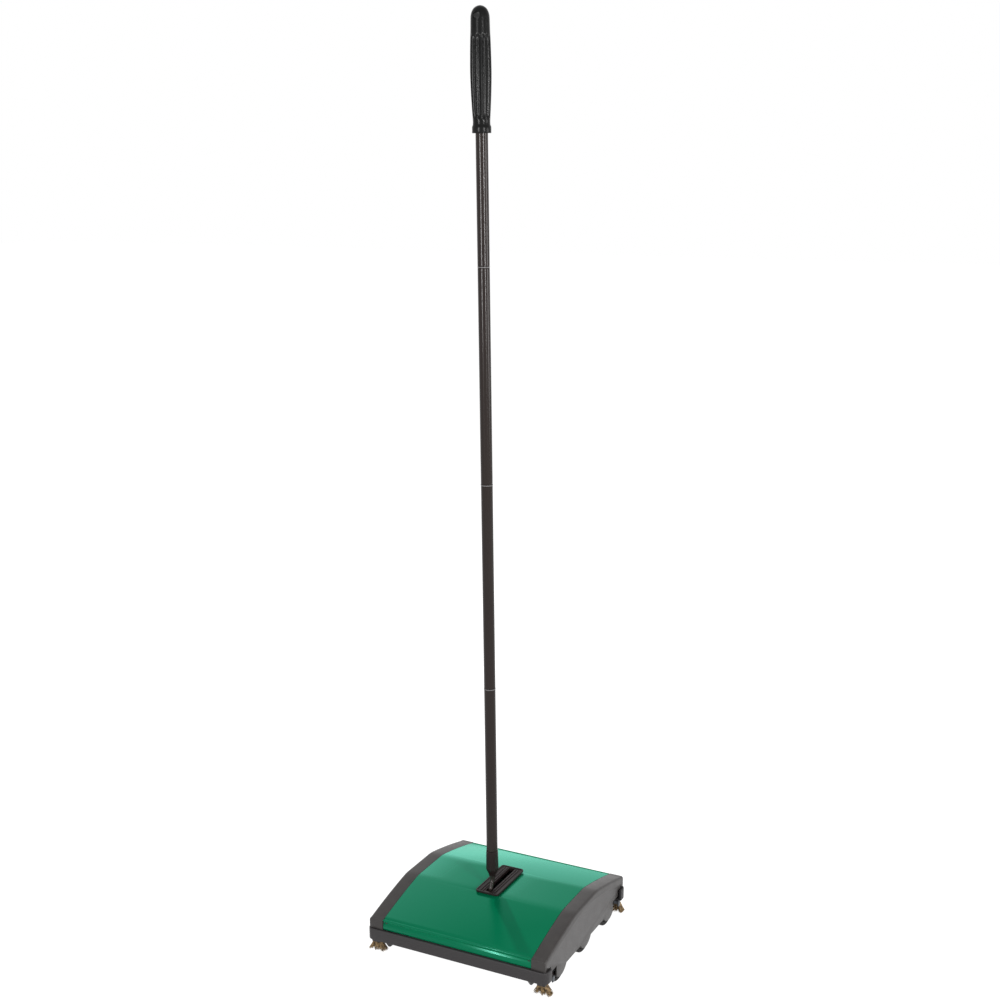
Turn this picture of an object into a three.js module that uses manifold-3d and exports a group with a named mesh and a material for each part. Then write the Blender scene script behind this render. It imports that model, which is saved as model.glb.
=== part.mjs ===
import * as THREE from 'three';
import { mergeVertices } from 'three/addons/utils/BufferGeometryUtils.js';
import Module from 'manifold-3d';

// Manual carpet sweeper. Millimetres, +Z up, origin on the floor under the middle of the head.
// -Y is the front, where the handle parks. Wheels, rollers, pans and handle all turn about X.

// ---- Whole object ----
const OVERALL_HEIGHT = 1118;
const HEAD_WIDTH = 245;
const HEAD_DEPTH = 244.4;
const CREST_HEIGHT = 66.5;

// ---- Clearances ----
const GAP = 0.3;

// ---- Arched steel cover ----
const SHEET = 1.2;
const CREST_HALF_LENGTH = 31.5;
const CREASE_HEIGHT = 45.8;
const SLOPE_BULGE = 1.2;
const LIP_BOTTOM = 33;
const LIP_SETBACK = 2.8;

// ---- Moulded end caps ----
const CAP_SETBACK = 3;
const CAP_BAND = 18.4;
const CAP_WALL = 2.5;
const CAP_BEVEL_RUN = 5.3;
const CAP_BEVEL_DROP = 4;
const PANEL_BOTTOM = 15;
const LOBE_INSET = 4.5;
const NOTCH_TOP = 25;
const NOTCH_REACH = 17;

// ---- Screws from the side frames into the cap bosses ----
const SCREW_RADIUS = 1.4;
const SCREW_HEAD_RADIUS = 3;
const BOSS_RADIUS = 4;

// ---- Bumper bars with their corner shelves ----
const BUMPER_WALL = 4;
const BUMPER_BOTTOM = 17.5;
const BUMPER_TOP = 32;
const BUMPER_CORNER = 8;
const BUMPER_RETURN = 15.3;
const SHELF_THICK = 2.5;

// ---- Side frames ----
const FRAME_THICK = 2.2;
const FRAME_SETBACK = 3.1;
const FRAME_BOTTOM = 5;
const FRAME_END_BOTTOM = 7.6;
const FRAME_END_TOP = 15;

// ---- Wheels ----
const WHEEL_RADIUS = 25;
const WHEEL_PITCH = 74;
const WHEEL_WIDTH = 10.5;
const WHEEL_CLEARANCE = 7.5;
const WHEEL_TO_PANEL = 1;
const HUB_RECESS = 2;
const TYRE_THICK = 5.2;
const AXLE_RADIUS = 2.5;

// ---- Brush rollers ----
const BRISTLE_RADIUS = 21.2;
const BRISTLE_LIFT = 0.5;
const BRISTLE_ROWS = 6;
const BRISTLE_TURNS = 0.75;
const CORE_RADIUS = 8;
const NECK_RADIUS = 5;
const SHAFT_RADIUS = 2.5;

// ---- Roller housing ----
const HOUSING_SHEET = 1.6;
const HOUSING_CLEARANCE = 2.3;
const HOUSING_REACH_DEG = 125;
const TROUGH_FLOOR = 7;

// ---- Dirt pans ----
const PAN_WALL = 1.5;
const PAN_SETBACK = 10.8;
const PAN_BOTTOM = 8.5;
const PAN_CHAMFER = { run: 7.4, rise: 4.5 };
const PAN_HEIGHT = 36;
const PAN_LIP = 2;
const PAN_ROLLER_GAP = 3.8;
const PAN_SIDE_GAP = 3.8;
const PIVOT_INSET = 3;
const PIVOT_RADIUS = 2;
const LEVER = { near: 4.6, far: 7.2, low: 3, high: 6.4 };

// ---- Slot plate and bail ----
const PLATE_HALF_WIDTH = 15.7;
const PLATE_HALF_LENGTH = 38.3;
const PLATE_THICK = 1.6;
const SLOT_HALF_WIDTH = 4;
const SLOT_FRONT = 33;
const SLOT_REAR = 35;
const COLLAR_WALL = 1.5;
const BAIL_PIVOT_HEIGHT = 20;
const BAIL_ROD_RADIUS = 2.8;
const BAIL_BEND = { y: -27.5, z: 66 };
const BAIL_FOOT_DROP = 5;
const BAIL_SEAT = 20;
const EYE_RADIUS = 6;
const EYE_HALF_WIDTH = 6.2;
const BRACKET_THICK = 2;

// ---- Handle ----
const HANDLE_LEAN_DEG = 1.516;
const HANDLE_BASE = { y: -20.9, z: 84 };
const FERRULE_TOP = 119;
const FERRULE_RADIUS = 7.8;
const TUBE_RADIUS = 6.95;
const TUBE_WALL = 0.9;
const SPIGOT_LENGTH = 25;
const JOINT_HEIGHTS = [333, 586, 838];
const RING_THICK = 1.2;
const GRIP_BOTTOM = 984;
const GRIP_RADIUS = 11.75;
const HANG_HOLE_RADIUS = 4.5;
const HANG_HOLE_DROP = 11;

// ---- Worked-out places ----
const headHalf = HEAD_WIDTH / 2;
const depthHalf = HEAD_DEPTH / 2;
const lipY = depthHalf - LIP_SETBACK;
const capOuter = headHalf - CAP_SETBACK;
const capInner = capOuter - CAP_BAND;
const coverHalf = capInner - GAP;
const panelInner = capOuter - CAP_WALL;
const wheelOuter = panelInner - WHEEL_TO_PANEL;
const wheelInner = wheelOuter - WHEEL_WIDTH;
const frameOuter = wheelInner - WHEEL_CLEARANCE;
const frameInner = frameOuter - FRAME_THICK;
const frameY = depthHalf - BUMPER_WALL - GAP;
const rollerY = WHEEL_PITCH / 2;
const rollerZ = BRISTLE_RADIUS + BRISTLE_LIFT;
const drumRadius = Math.hypot(rollerY, WHEEL_RADIUS - rollerZ) - WHEEL_RADIUS - GAP;
const panOuterY = depthHalf - PAN_SETBACK;
const panInnerY = rollerY + BRISTLE_RADIUS + PAN_ROLLER_GAP;
const panHalf = frameInner - PAN_SIDE_GAP;
const pivotY = panOuterY - PIVOT_INSET;
const pivotZ = PAN_BOTTOM + PIVOT_INSET + 0.5;
const screwY = rollerY + CORE_RADIUS;
const screwZ = rollerZ + BRISTLE_RADIUS + HOUSING_CLEARANCE + AXLE_RADIUS * 2;
const lean = THREE.MathUtils.degToRad(HANDLE_LEAN_DEG);
const WHEEL_ROWS = { front: -WHEEL_PITCH, middle: 0, rear: WHEEL_PITCH };
const SIDES = { left: -1, right: 1 };
const ENDS = { front: -1, rear: 1 };

// ---- Materials ----
function paint(color, roughness, metalness) {
  return new THREE.MeshStandardMaterial({ color, roughness, metalness, flatShading: true });
}
const greenPaint = paint(0x007a50, 0.25, 0.1);
const darkPlastic = paint(0x4a4644, 0.5, 0);
const blackPlastic = paint(0x1b1b1b, 0.45, 0);
const blackTube = paint(0x121212, 0.3, 0.4);
const blackRubber = paint(0x161616, 0.85, 0);
const steel = paint(0xb0b3b5, 0.35, 0.9);
const greyPlastic = paint(0x7d8388, 0.55, 0);
const bristle = paint(0x8f7346, 0.9, 0);
const lightPlastic = paint(0x9a9a9a, 0.5, 0);

// ---- Solids ----
const wasm = await Module();
wasm.setup();

// Merges shared corners, drops empty triangles and turns the faces outwards.
function closedMesh(source) {
  const bare = source.clone();
  bare.deleteAttribute('normal');
  bare.deleteAttribute('uv');
  const merged = mergeVertices(bare, 1e-5);
  const place = merged.getAttribute('position').array;
  const index = merged.getIndex().array;
  const triangles = [];
  for (let i = 0; i < index.length; i += 3) {
    const [a, b, c] = [index[i], index[i + 1], index[i + 2]];
    if (a !== b && b !== c && a !== c) triangles.push(a, b, c);
  }
  let volume = 0;
  const corner = (i) => new THREE.Vector3().fromArray(place, 3 * i);
  for (let i = 0; i < triangles.length; i += 3) {
    const [a, b, c] = [triangles[i], triangles[i + 1], triangles[i + 2]].map(corner);
    volume += a.dot(b.cross(c));
  }
  if (volume < 0) triangles.reverse();
  return { vertProperties: new Float32Array(place), triVerts: new Uint32Array(triangles) };
}

function solid(geometry) {
  const { vertProperties, triVerts } = closedMesh(geometry);
  return new wasm.Manifold(new wasm.Mesh({ numProp: 3, vertProperties, triVerts }));
}

function joined(...solids) {
  return solids.reduce((sum, next) => sum.add(next));
}

function cut(body, ...tools) {
  return tools.reduce((rest, tool) => rest.subtract(tool), body);
}

function geometryOf(body) {
  const mesh = body.getMesh();
  const geometry = new THREE.BufferGeometry();
  geometry.setAttribute('position', new THREE.BufferAttribute(new Float32Array(mesh.vertProperties), 3));
  geometry.setIndex(new THREE.BufferAttribute(new Uint32Array(mesh.triVerts), 1));
  geometry.computeVertexNormals();
  return geometry;
}

const sweeper = new THREE.Group();

function place(name, body, material, parent = sweeper) {
  const mesh = new THREE.Mesh(geometryOf(body), material);
  mesh.name = name;
  parent.add(mesh);
}

// ---- Basic shapes ----
function outline(points) {
  return new THREE.Shape(points.map(([u, v]) => new THREE.Vector2(u, v)));
}

// Extrudes a (Y, Z) shape along X from x0 to x1.
function alongX(shape, x0, x1, options = {}) {
  const geometry = new THREE.ExtrudeGeometry(shape, {
    depth: x1 - x0, bevelEnabled: false, curveSegments: 10, ...options,
  });
  const turn = new THREE.Matrix4().makeBasis(
    new THREE.Vector3(0, 1, 0), new THREE.Vector3(0, 0, 1), new THREE.Vector3(1, 0, 0),
  );
  geometry.applyMatrix4(turn);
  geometry.translate(x0, 0, 0);
  return solid(geometry);
}

// Extrudes an (X, Y) shape upwards from z0 to z1.
function alongZ(shape, z0, z1) {
  const geometry = new THREE.ExtrudeGeometry(shape, { depth: z1 - z0, bevelEnabled: false, curveSegments: 5 });
  geometry.translate(0, 0, z0);
  return solid(geometry);
}

function box(x0, x1, y0, y1, z0, z1) {
  const geometry = new THREE.BoxGeometry(Math.abs(x1 - x0), Math.abs(y1 - y0), Math.abs(z1 - z0));
  geometry.translate((x0 + x1) / 2, (y0 + y1) / 2, (z0 + z1) / 2);
  return solid(geometry);
}

// Round bar along X.
function barX(radius, x0, x1, y, z, sides = 16) {
  const geometry = new THREE.CylinderGeometry(radius, radius, Math.abs(x1 - x0), sides);
  geometry.rotateZ(Math.PI / 2);
  geometry.translate((x0 + x1) / 2, y, z);
  return solid(geometry);
}

// Turns a profile of [radius, x] points about an axis along X through (y, z).
function turnedX(profile, y, z, sides = 20) {
  const geometry = new THREE.LatheGeometry(profile.map(([r, x]) => new THREE.Vector2(r, x)), sides);
  geometry.rotateZ(-Math.PI / 2);
  geometry.translate(0, y, z);
  return solid(geometry);
}

// Turns a profile of [radius, height] points about Z.
function turnedZ(profile, sides = 12) {
  const geometry = new THREE.LatheGeometry(profile.map(([r, h]) => new THREE.Vector2(r, h)), sides);
  geometry.rotateX(Math.PI / 2);
  return geometry;
}

function ringProfile(points) {
  return [...points, points[0]];
}

function disc(y, z, radius) {
  return new THREE.Shape().absarc(y, z, radius, 0, 2 * Math.PI, false);
}

function roundedRectangle(halfX, halfY, radius) {
  const shape = new THREE.Shape();
  shape.absarc(halfX - radius, halfY - radius, radius, 0, Math.PI / 2, false);
  shape.absarc(radius - halfX, halfY - radius, radius, Math.PI / 2, Math.PI, false);
  shape.absarc(radius - halfX, radius - halfY, radius, Math.PI, 1.5 * Math.PI, false);
  shape.absarc(halfX - radius, radius - halfY, radius, 1.5 * Math.PI, 2 * Math.PI, false);
  return shape;
}

// ---- The arch shared by the cover, the caps and the frames ----
function archHeight(y) {
  const run = Math.abs(y) - CREST_HALF_LENGTH;
  if (run <= 0) return CREST_HEIGHT;
  const t = Math.min(1, run / (lipY - CREST_HALF_LENGTH));
  return CREST_HEIGHT + (CREASE_HEIGHT - CREST_HEIGHT) * t + 4 * SLOPE_BULGE * t * (1 - t);
}

// Points along the arch from front to back, lowered by drop.
function archLine(halfLength, drop) {
  const steps = 6;
  const slope = Array.from({ length: steps + 1 }, (_, i) => (
    CREST_HALF_LENGTH + (halfLength - CREST_HALF_LENGTH) * (1 - i / steps)
  ));
  const front = slope.map((y) => [-y, archHeight(y) - drop]);
  const back = slope.reverse().map((y) => [y, archHeight(y) - drop]);
  return [...front, ...back];
}

// ---- Cover ----
function topCover() {
  const shell = outline([
    [-lipY, LIP_BOTTOM],
    ...archLine(lipY, 0),
    [lipY, LIP_BOTTOM],
    [lipY - SHEET, LIP_BOTTOM],
    ...archLine(lipY - SHEET, SHEET).reverse(),
    [SHEET - lipY, LIP_BOTTOM],
  ]);
  const halfX = SLOT_HALF_WIDTH + COLLAR_WALL + GAP;
  const window = box(
    -halfX, halfX, -SLOT_FRONT - COLLAR_WALL - GAP, SLOT_REAR + COLLAR_WALL + GAP, CREST_HEIGHT / 2, CREST_HEIGHT + 5,
  );
  return cut(alongX(shell, -coverHalf, coverHalf), window);
}

// ---- End caps ----
function endCap(side) {
  const capY = lipY + 0.6;
  const below = -20;
  const full = outline([...archLine(capY, 0), [capY, below], [-capY, below]]);
  const block = alongX(full, capInner - 20, capOuter - CAP_BEVEL_RUN, {
    bevelEnabled: true,
    bevelThickness: CAP_BEVEL_RUN,
    bevelSize: CAP_BEVEL_DROP,
    bevelOffset: -CAP_BEVEL_DROP,
    bevelSegments: 3,
  });
  const hollowY = capY - CAP_WALL;
  const hollow = outline([...archLine(hollowY, CAP_WALL), [hollowY, below], [-hollowY, below]]);
  const lobes = Object.values(WHEEL_ROWS).map((y) => (
    alongX(disc(y, WHEEL_RADIUS, WHEEL_RADIUS - LOBE_INSET), panelInner - 1, capOuter + 1)
  ));
  const keep = joined(box(capInner, capOuter + 1, -capY - 1, capY + 1, PANEL_BOTTOM, CREST_HEIGHT + 5), ...lobes);
  const cuts = [alongX(hollow, capInner - 30, panelInner)];
  const cornerY = depthHalf - BUMPER_RETURN - 3;
  for (const end of Object.values(ENDS)) {
    cuts.push(box(capInner - 1, capOuter + 1, end * cornerY, end * (capY + 5), below, LIP_BOTTOM));
    cuts.push(box(capInner - 1, capOuter + 1, end * (cornerY - NOTCH_REACH), end * (capY + 5), below, NOTCH_TOP));
  }
  let cap = cut(block.intersect(keep), ...cuts);
  for (const end of Object.values(ENDS)) {
    const boss = barX(BOSS_RADIUS, frameOuter + GAP, panelInner + 1, end * screwY, screwZ, 12);
    const pilot = barX(SCREW_RADIUS + GAP, frameOuter, panelInner - 5, end * screwY, screwZ, 10);
    cap = cut(joined(cap, boss), pilot);
  }
  return side > 0 ? cap : cap.mirror([1, 0, 0]);
}

// ---- Side frames ----
function leverSlot(end) {
  const shape = new THREE.Shape();
  const inner = Math.hypot(LEVER.near, LEVER.low) - 2 * GAP;
  const outer = Math.hypot(LEVER.far, LEVER.high) + 2 * GAP;
  const top = Math.atan2(LEVER.high, LEVER.near) + 0.2;
  const bottom = -1.1;
  shape.absarc(0, 0, outer, bottom, top, false);
  shape.absarc(0, 0, inner, top, bottom, true);
  const slot = alongX(shape, frameInner - 1, frameOuter + 1);
  const placed = end < 0 ? slot : slot.mirror([0, 1, 0]);
  return placed.translate([0, end * pivotY, pivotZ]);
}

function sideFrame(side) {
  const plate = alongX(outline([
    ...archLine(frameY, SHEET + GAP), [frameY, FRAME_END_TOP], [frameY - 6, FRAME_END_BOTTOM],
    [frameY - 24, FRAME_BOTTOM], [24 - frameY, FRAME_BOTTOM], [6 - frameY, FRAME_END_BOTTOM], [-frameY, FRAME_END_TOP],
  ]), frameInner, frameOuter);
  const hole = (radius, y, z) => barX(radius, frameInner - 1, frameOuter + 1, y, z, 12);
  const holes = Object.values(WHEEL_ROWS).map((y) => hole(AXLE_RADIUS + GAP, y, WHEEL_RADIUS));
  for (const end of Object.values(ENDS)) {
    holes.push(hole(NECK_RADIUS + GAP, end * rollerY, rollerZ));
    holes.push(hole(PIVOT_RADIUS + GAP, end * pivotY, pivotZ));
    holes.push(hole(SCREW_RADIUS + GAP, end * screwY, screwZ));
    holes.push(leverSlot(end));
  }
  const frame = cut(plate, ...holes);
  return side > 0 ? frame : frame.mirror([1, 0, 0]);
}

// ---- Bumpers ----
function bumper(end) {
  const ring = new THREE.Shape();
  const wall = BUMPER_WALL;
  const corner = BUMPER_CORNER;
  const back = depthHalf - BUMPER_RETURN;
  ring.moveTo(headHalf, back);
  ring.absarc(headHalf - corner, depthHalf - corner, corner, 0, Math.PI / 2, false);
  ring.absarc(corner - headHalf, depthHalf - corner, corner, Math.PI / 2, Math.PI, false);
  ring.lineTo(-headHalf, back);
  ring.lineTo(wall - headHalf, back);
  ring.absarc(corner - headHalf, depthHalf - corner, corner - wall, Math.PI, Math.PI / 2, true);
  ring.absarc(headHalf - corner, depthHalf - corner, corner - wall, Math.PI / 2, 0, true);
  ring.lineTo(headHalf - wall, back);
  const shelves = Object.values(SIDES).map((side) => box(
    side * (frameOuter + 2), side * (headHalf - wall + 1),
    back, depthHalf - wall + 1, BUMPER_BOTTOM, BUMPER_BOTTOM + SHELF_THICK,
  ));
  const body = joined(alongZ(ring, BUMPER_BOTTOM, BUMPER_TOP), ...shelves);
  return end > 0 ? body : body.mirror([0, 1, 0]);
}

// ---- Corner brushes ----
function cornerBrush(side, end) {
  const middleX = headHalf - 9.8;
  const middleY = depthHalf - 9.8;
  const holderTop = BUMPER_BOTTOM - GAP;
  const holderHeight = 4;
  const tufts = [-1, 0, 1].map((lane) => {
    const geometry = new THREE.CylinderGeometry(3.4, 5, holderTop - holderHeight + 3, 10);
    geometry.rotateX(Math.PI / 2);
    geometry.translate(0, 0, -(holderTop - holderHeight + 3) / 2);
    geometry.rotateY(-(lane < 0 ? 0.22 : 0.4) * lane);
    geometry.translate(middleX + 1.8 * lane, middleY, holderTop - 2);
    return solid(geometry);
  });
  const holder = box(
    middleX - 5.4, middleX + 5.4, middleY - 5.2, middleY + 5.2, holderTop - holderHeight, holderTop,
  );
  const floorSlice = box(0, 2 * headHalf, 0, 2 * depthHalf, -10, BRISTLE_LIFT);
  let body = cut(joined(holder, ...tufts), floorSlice);
  if (side < 0) body = body.mirror([1, 0, 0]);
  return end < 0 ? body.mirror([0, 1, 0]) : body;
}

// ---- Wheels ----
function axle(y) {
  const headStart = wheelOuter - HUB_RECESS;
  return turnedX([
    [0, frameInner - 2 * GAP], [AXLE_RADIUS, frameInner - 2 * GAP], [AXLE_RADIUS, headStart],
    [AXLE_RADIUS + 2, headStart], [AXLE_RADIUS + 2, headStart + 1.5], [AXLE_RADIUS, headStart + 1.5],
    [AXLE_RADIUS, panelInner - GAP], [0, panelInner - GAP],
  ], y, WHEEL_RADIUS, 8);
}

function hub(y) {
  const bore = AXLE_RADIUS + GAP;
  const rim = WHEEL_RADIUS - TYRE_THICK - GAP;
  const [x0, x1] = [wheelInner + GAP, wheelOuter - GAP];
  const dish = 3.5;
  return turnedX(ringProfile([
    [bore, x0], [rim, x0], [rim, x1], [rim - 2.5, x1], [rim - 2.5, x1 - dish], [bore + 3, x1 - dish],
    [bore + 3, x1 - HUB_RECESS], [bore, x1 - HUB_RECESS],
  ]), y, WHEEL_RADIUS, 16);
}

function tyre(y) {
  const inner = WHEEL_RADIUS - TYRE_THICK;
  const shoulder = 1.4;
  return turnedX(ringProfile([
    [inner, wheelInner], [WHEEL_RADIUS - shoulder, wheelInner], [WHEEL_RADIUS, wheelInner + shoulder],
    [WHEEL_RADIUS, wheelOuter - shoulder], [WHEEL_RADIUS - shoulder, wheelOuter], [inner, wheelOuter],
  ]), y, WHEEL_RADIUS, 24);
}

// ---- Brush rollers ----
function rollerShaft(y) {
  return barX(SHAFT_RADIUS, 2 * GAP - panelInner, panelInner - 2 * GAP, y, rollerZ, 12);
}

function rollerCore(y) {
  const bore = SHAFT_RADIUS + GAP;
  const neckIn = frameInner - 1.3;
  const drumIn = frameOuter + 1.3;
  const half = [
    [drumRadius, wheelOuter - 0.5], [drumRadius, drumIn], [NECK_RADIUS, drumIn], [NECK_RADIUS, neckIn],
    [CORE_RADIUS, neckIn],
  ];
  const mirrored = half.map(([r, x]) => [r, -x]).reverse();
  return turnedX(ringProfile([
    [bore, wheelOuter - 0.5], ...half, ...mirrored, [bore, 0.5 - wheelOuter],
  ]), y, rollerZ, 16);
}

// Rows of bristles as tapered fins that wind round the core.
function rollerBristles(y, hand) {
  const shape = new THREE.Shape();
  const root = CORE_RADIUS + 2.4;
  const bore = CORE_RADIUS + 0.9;
  const sector = 2 * Math.PI / BRISTLE_ROWS;
  const corners = [];
  for (let row = 0; row < BRISTLE_ROWS; row += 1) {
    const middle = row * sector;
    for (const [radius, angle] of [[root, -0.3], [BRISTLE_RADIUS, -0.11], [BRISTLE_RADIUS, 0.11], [root, 0.3]]) {
      corners.push([radius * Math.cos(middle + angle), radius * Math.sin(middle + angle)]);
    }
  }
  shape.setFromPoints(corners.map(([u, v]) => new THREE.Vector2(u, v)));
  shape.holes.push(new THREE.Path().absarc(0, 0, bore, 0, 2 * Math.PI, true));
  const half = panHalf;
  const geometry = new THREE.ExtrudeGeometry(shape, {
    depth: 2 * half, steps: 13, bevelEnabled: false, curveSegments: 6,
  });
  const point = geometry.getAttribute('position');
  const spot = new THREE.Vector3();
  for (let i = 0; i < point.count; i += 1) {
    spot.fromBufferAttribute(point, i);
    const turn = hand * BRISTLE_TURNS * 2 * Math.PI * (spot.z / (2 * half) - 0.5);
    point.setXYZ(
      i, spot.z - half,
      spot.x * Math.cos(turn) - spot.y * Math.sin(turn) + y,
      spot.x * Math.sin(turn) + spot.y * Math.cos(turn) + rollerZ,
    );
  }
  return solid(geometry);
}

// ---- Roller housing: two arches joined by a trough for the bail ----
function rollerHousing() {
  const inner = BRISTLE_RADIUS + HOUSING_CLEARANCE;
  const outer = inner + HOUSING_SHEET;
  const reach = THREE.MathUtils.degToRad(HOUSING_REACH_DEG);
  const shape = new THREE.Shape();
  shape.absarc(-rollerY, rollerZ, outer, reach, 0, true);
  shape.lineTo(outer - rollerY, TROUGH_FLOOR + HOUSING_SHEET);
  shape.lineTo(rollerY - outer, TROUGH_FLOOR + HOUSING_SHEET);
  shape.absarc(rollerY, rollerZ, outer, Math.PI, Math.PI - reach, true);
  shape.absarc(rollerY, rollerZ, inner, Math.PI - reach, Math.PI, false);
  shape.lineTo(rollerY - inner, TROUGH_FLOOR);
  shape.lineTo(inner - rollerY, TROUGH_FLOOR);
  shape.absarc(-rollerY, rollerZ, inner, 0, reach, false);
  return alongX(shape, GAP - frameInner, frameInner - GAP);
}

// ---- Dirt pans: open towards the roller, hung on stub pins, with a thumb lever at each end ----
function dirtPan(end) {
  const at = (y) => end * y;
  const outside = outline([
    [at(panOuterY), PAN_BOTTOM + PAN_CHAMFER.rise], [at(panOuterY - PAN_CHAMFER.run), PAN_BOTTOM],
    [at(panInnerY), PAN_BOTTOM], [at(panInnerY), PAN_BOTTOM + PAN_WALL + PAN_LIP],
    [at(panInnerY + 6), PAN_HEIGHT], [at(panOuterY), PAN_HEIGHT],
  ]);
  const floorTop = PAN_BOTTOM + PAN_WALL;
  const inside = outline([
    [at(panOuterY - PAN_WALL), floorTop + PAN_CHAMFER.rise], [at(panOuterY - PAN_CHAMFER.run - PAN_WALL / 2), floorTop],
    [at(panInnerY + PAN_LIP), floorTop],
    [at(panInnerY + PAN_LIP / 2), floorTop + PAN_LIP], [at(panInnerY - 10), floorTop + PAN_LIP],
    [at(panInnerY - 10), PAN_HEIGHT + 5], [at(panOuterY - PAN_WALL), PAN_HEIGHT + 5],
  ]);
  let pan = cut(
    alongX(outside, -panHalf, panHalf),
    alongX(inside, PAN_WALL - panHalf, panHalf - PAN_WALL),
  );
  for (const side of Object.values(SIDES)) {
    const stub = barX(PIVOT_RADIUS, side * (panHalf - 1), side * (frameOuter + GAP), at(pivotY), pivotZ, 12);
    const lever = box(
      side * (panHalf - 1), side * (capOuter + 2), at(pivotY - LEVER.near), at(pivotY - LEVER.far),
      pivotZ + LEVER.low, pivotZ + LEVER.high,
    );
    const pad = box(
      side * (capOuter + 0.8), side * (headHalf - 0.2), at(pivotY - LEVER.near + 0.6), at(pivotY - LEVER.far - 2),
      pivotZ + LEVER.low - 2, pivotZ + LEVER.high + 1.6,
    );
    pan = joined(pan, stub, lever, pad);
  }
  return pan;
}

class Coil extends THREE.Curve {
  constructor(radius, length, turns) {
    super();
    Object.assign(this, { radius, length, turns });
  }

  getPoint(t, target = new THREE.Vector3()) {
    const angle = 2 * Math.PI * this.turns * t;
    return target.set(this.length * t, this.radius * Math.cos(angle), this.radius * Math.sin(angle));
  }
}

function panSpring(end) {
  const wire = 0.45;
  const room = PAN_SIDE_GAP - 4 * wire;
  const geometry = new THREE.ExtrudeGeometry(new THREE.Shape().absarc(0, 0, wire, 0, 2 * Math.PI, false), {
    steps: 24, bevelEnabled: false, curveSegments: 2, extrudePath: new Coil(PIVOT_RADIUS + 1.2, room, 2.5),
  });
  geometry.translate(panHalf + 2 * wire, end * pivotY, pivotZ);
  return solid(geometry);
}

// ---- Screws that pull the caps to the frames ----
function capScrew(side, end) {
  const under = frameInner - GAP;
  const screw = turnedX([
    [0, under - 1.6], [SCREW_HEAD_RADIUS * 0.7, under - 1.6], [SCREW_HEAD_RADIUS, under - 0.8],
    [SCREW_HEAD_RADIUS, under], [SCREW_RADIUS, under], [SCREW_RADIUS, panelInner - 7], [0, panelInner - 6],
  ], end * screwY, screwZ, 8);
  return side > 0 ? screw : screw.mirror([1, 0, 0]);
}

// ---- Slot plate ----
function slotPlate() {
  const z0 = CREST_HEIGHT + GAP;
  const z1 = z0 + PLATE_THICK;
  const rimHeight = 0.8;
  const sheet = roundedRectangle(PLATE_HALF_WIDTH, PLATE_HALF_LENGTH, 4);
  const recess = roundedRectangle(PLATE_HALF_WIDTH - 1.6, PLATE_HALF_LENGTH - 1.6, 2.6);
  const ribs = [SLOT_HALF_WIDTH + 2.2, SLOT_HALF_WIDTH + 5.6].flatMap((x) => [-x, x]).map((x) => (
    box(x - 0.6, x + 0.6, -PLATE_HALF_LENGTH + 4, PLATE_HALF_LENGTH - 4, z1 - 0.5, z1 + rimHeight)
  ));
  const collar = box(
    -SLOT_HALF_WIDTH - COLLAR_WALL, SLOT_HALF_WIDTH + COLLAR_WALL,
    -SLOT_FRONT - COLLAR_WALL, SLOT_REAR + COLLAR_WALL, CREST_HEIGHT - SHEET - 1, z0 + 0.5,
  );
  const slot = box(-SLOT_HALF_WIDTH, SLOT_HALF_WIDTH, -SLOT_FRONT, SLOT_REAR, 0, 2 * CREST_HEIGHT);
  const tray = cut(alongZ(sheet, z0, z1 + rimHeight), alongZ(recess, z1, z1 + 5));
  return cut(joined(tray, collar, ...ribs), slot);
}

// ---- Bail: eye on the pin, cranked rod up through the slot ----
function bailBracket(side) {
  const x0 = EYE_HALF_WIDTH + GAP;
  const plate = box(
    side * x0, side * (x0 + BRACKET_THICK), -8, 8, TROUGH_FLOOR + HOUSING_SHEET + GAP, BAIL_PIVOT_HEIGHT + 7,
  );
  return cut(plate, barX(PIVOT_RADIUS + GAP, -20, 20, 0, BAIL_PIVOT_HEIGHT, 12));
}

function bailPin() {
  const head = EYE_HALF_WIDTH + BRACKET_THICK + 2 * GAP;
  return turnedX([
    [0, -head - 1.5], [PIVOT_RADIUS + 1, -head - 1.5], [PIVOT_RADIUS + 1, -head], [PIVOT_RADIUS, -head],
    [PIVOT_RADIUS, head], [PIVOT_RADIUS + 1, head], [PIVOT_RADIUS + 1, head + 1.5], [0, head + 1.5],
  ], 0, BAIL_PIVOT_HEIGHT, 12);
}

function onHandle(height) {
  return (height - HANDLE_BASE.z) / Math.cos(lean);
}

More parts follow.
